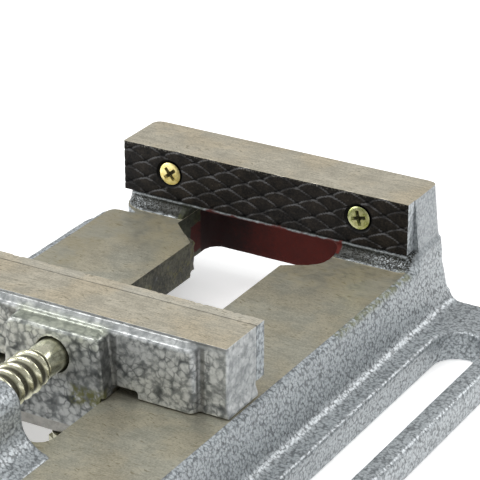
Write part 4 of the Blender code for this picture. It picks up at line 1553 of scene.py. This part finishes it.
LEDGE_RIB = ((-0.45, 4.25), (-0.6, 3.85), (-0.2, 3.4), (1.2, 3.0), (1.2, 4.25))
SLOT_LUMP = (
    (-16.6, -15.6),
    (-16.5, -14.2),
    (-17.0, -13.2),
    (-16.5, -12.4),
    (-19.2, -11.2),
    (-22.5, -11.6),
    (-18.4, -15.6),
)
BASE = CastPiece(
    node="base_casting",
    body=Body.BASE,
    finish=Casting(
        name="base_finish",
        ground=(
            ((-51.0, -170.0, -0.05), (51.0, 20.0, 0.05)),
            ((-60.0, 3.0, 20.95), (60.0, 22.0, 21.05)),
            ((-60.0, 3.0, 6.0), (49.9, 5.0, 21.05)),
        ),
        # painted shade on the foot under the fixed jaw plate
        speckled_shade=(((-49.0, -6.0, 0.3), (51.5, 5.0, 5.0)),),
        # painted shade: the fixed jaw's right end darker, its pattern faint
        faint_and_shaded=(((49.0, -2.0, 2.0), (60.0, 30.0, 30.0)),),
        raw_skin_and_shade=(
            ((-16.4, -150.0, -30.0), (16.4, 20.0, 0.5)),
            ((-51.0, -160.0, -30.0), (51.0, 14.0, -11.6)),
            ((-29.0, -19.0, -30.0), (29.0, 1.0, 0.5)),
            ((-28.5, -6.5, -30.0), (-21.0, 17.0, 4.0)),
        ),
        dry=(((-60.0, -170.0, -1.1), (60.0, 3.0, -0.02)), ((-60.0, -1.2, 3.2), (60.0, 1.6, 4.5))),
        tarnished=(((49.0, -48.0, -0.9), (54.0, -3.0, 0.0)),),
        primed=(
            ((-29.0, 7.8, -24.0), (28.0, 17.0, 3.9)),
            ((-20.0, -2.0, -24.0), (28.0, 16.5, 3.9)),
            ((-29.0, 1.8, -14.0), (-19.0, 8.4, -4.5)),
        ),
        stained=(((-52.0, -24.0, -1.0), (52.0, 2.0, 1.0)), ((-52.0, -60.0, -1.0), (-40.0, 0.0, 1.0))),
    ),
    flashes=(
        Flash(LEDGE_RIB, "X", -47.0, 50.0, 0.15),
        Flash(SLOT_LUMP, "Z", -11.2, -1.0, 0.5, 1.1),
    ),
    levels=(
        (2, 0.0, (-51.2, -170.0, -1.0), (51.2, 20.0, 1.0)),
        (2, 21.0, (-60.0, 3.0, 20.0), (60.0, 22.0, 22.0)),
        (1, 4.4, (-60.0, 3.0, 4.6), (60.0, 6.0, 21.5)),
        (2, -26.0, (-90.0, -180.0, -27.0), (90.0, 30.0, -25.0)),
    ),
)

MOVING_JAW = CastPiece(
    node="moving_jaw_casting",
    body=Body.JAW,
    finish=Casting(
        name="moving_jaw_finish",
        ground=(
            ((-60.0, -107.0, 20.95), (60.0, -89.0, 21.05)),
            ((-49.9, -91.0, 4.0), (49.9, -89.0, 21.05)),
            ((-60.0, -113.5, -30.0), (60.0, -60.0, 0.35)),
        ),
        # painted shade: the bore round the screw's nose drawn as dark cast skin
        raw_skin_and_shade=(((-5.7, -113.4, 4.2), (5.7, -94.0, 15.6)),),
        # painted shade beside the ends of the pad and the boss, and a dark line under the ground top's front
        # edge
        shade_and_dark_edge=(
            ((41.2, -109.4, -1.0), (43.2, -105.4, 19.5)),
            ((-43.2, -109.4, -1.0), (-41.2, -105.4, 19.5)),
            ((14.4, -113.4, -1.0), (17.4, -107.8, 17.6)),
            ((-17.4, -113.4, -1.0), (-14.4, -107.8, 17.6)),
            ((-50.6, -107.2, 20.3), (50.6, -105.0, 20.96)),
        ),
        tarnished=(((6.0, -116.0, -3.0), (18.0, -112.0, 2.5)),),
        # faint pattern and darker tone: painted shade on the right end, and the same on the tops of the pad
        # and the boss
        faint_and_shaded=(
            ((49.3, -120.0, 1.0), (60.0, -80.0, 30.0)),
            ((-60.0, -112.0, 18.6), (60.0, -104.0, 22.0)),
            ((-14.0, -113.0, 17.3), (14.0, -106.0, 20.0)),
        ),
        dry=(((-60.0, -107.9, 19.15), (60.0, -106.0, 19.9)),),
        yellowed=(((-14.4, -113.6, 15.6), (14.4, -107.9, 20.0)),),
        paint=HammeredPaint(
            # paler than the base's paint: painted light on the jaw's front faces
            pale=(0.58, 0.595, 0.59),
            body=(0.215, 0.230, 0.232),
            cell=2.2,
            relief=0.045,
            gloss=0.24,
            specked=0.90,
            veined=0.45,
        ),
    ),
    levels=(
        (2, 21.0, (-60.0, -107.0, 20.0), (60.0, -89.0, 22.0)),
        (1, -90.4, (-60.0, -91.5, 4.6), (60.0, -89.0, 21.5)),
    ),
    voxel=0.3,
    rounds=1,
    reach=0.27,
)


def main() -> None:
    """Build and dress the vise on its stage."""
    logging.basicConfig(level=logging.INFO, format="%(message)s")
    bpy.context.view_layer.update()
    zinc = PALE_ZINC.layer(Tree("bar_zinc")).finished()
    steel = GREY_STEEL.layer(Tree("plain_steel")).finished()
    BASE.build()
    MOVING_JAW.build()
    fixed_screws = ("fixed_plate_screw_left", "fixed_plate_screw_right")
    moving_screws = ("moving_plate_screw_left", "moving_plate_screw_right")
    JawPlate("fixed_jaw_plate", fixed_screws, 0.0, Facing.FRONT, Body.BASE, (40.0, 14.0)).build()
    moving_plate = ("moving_jaw_plate", moving_screws, -86.0, Facing.BACK, Body.JAW, (70.0, 25.0))
    JawPlate(*moving_plate, seamed=True, iron=PALER_IRON).build()
    LeadScrew().build(PALE_ZINC)
    TommyBar().build(steel, zinc)
    Keeper().build(zinc, steel)
    Studio().build()


if __name__ == "__main__":
    main()
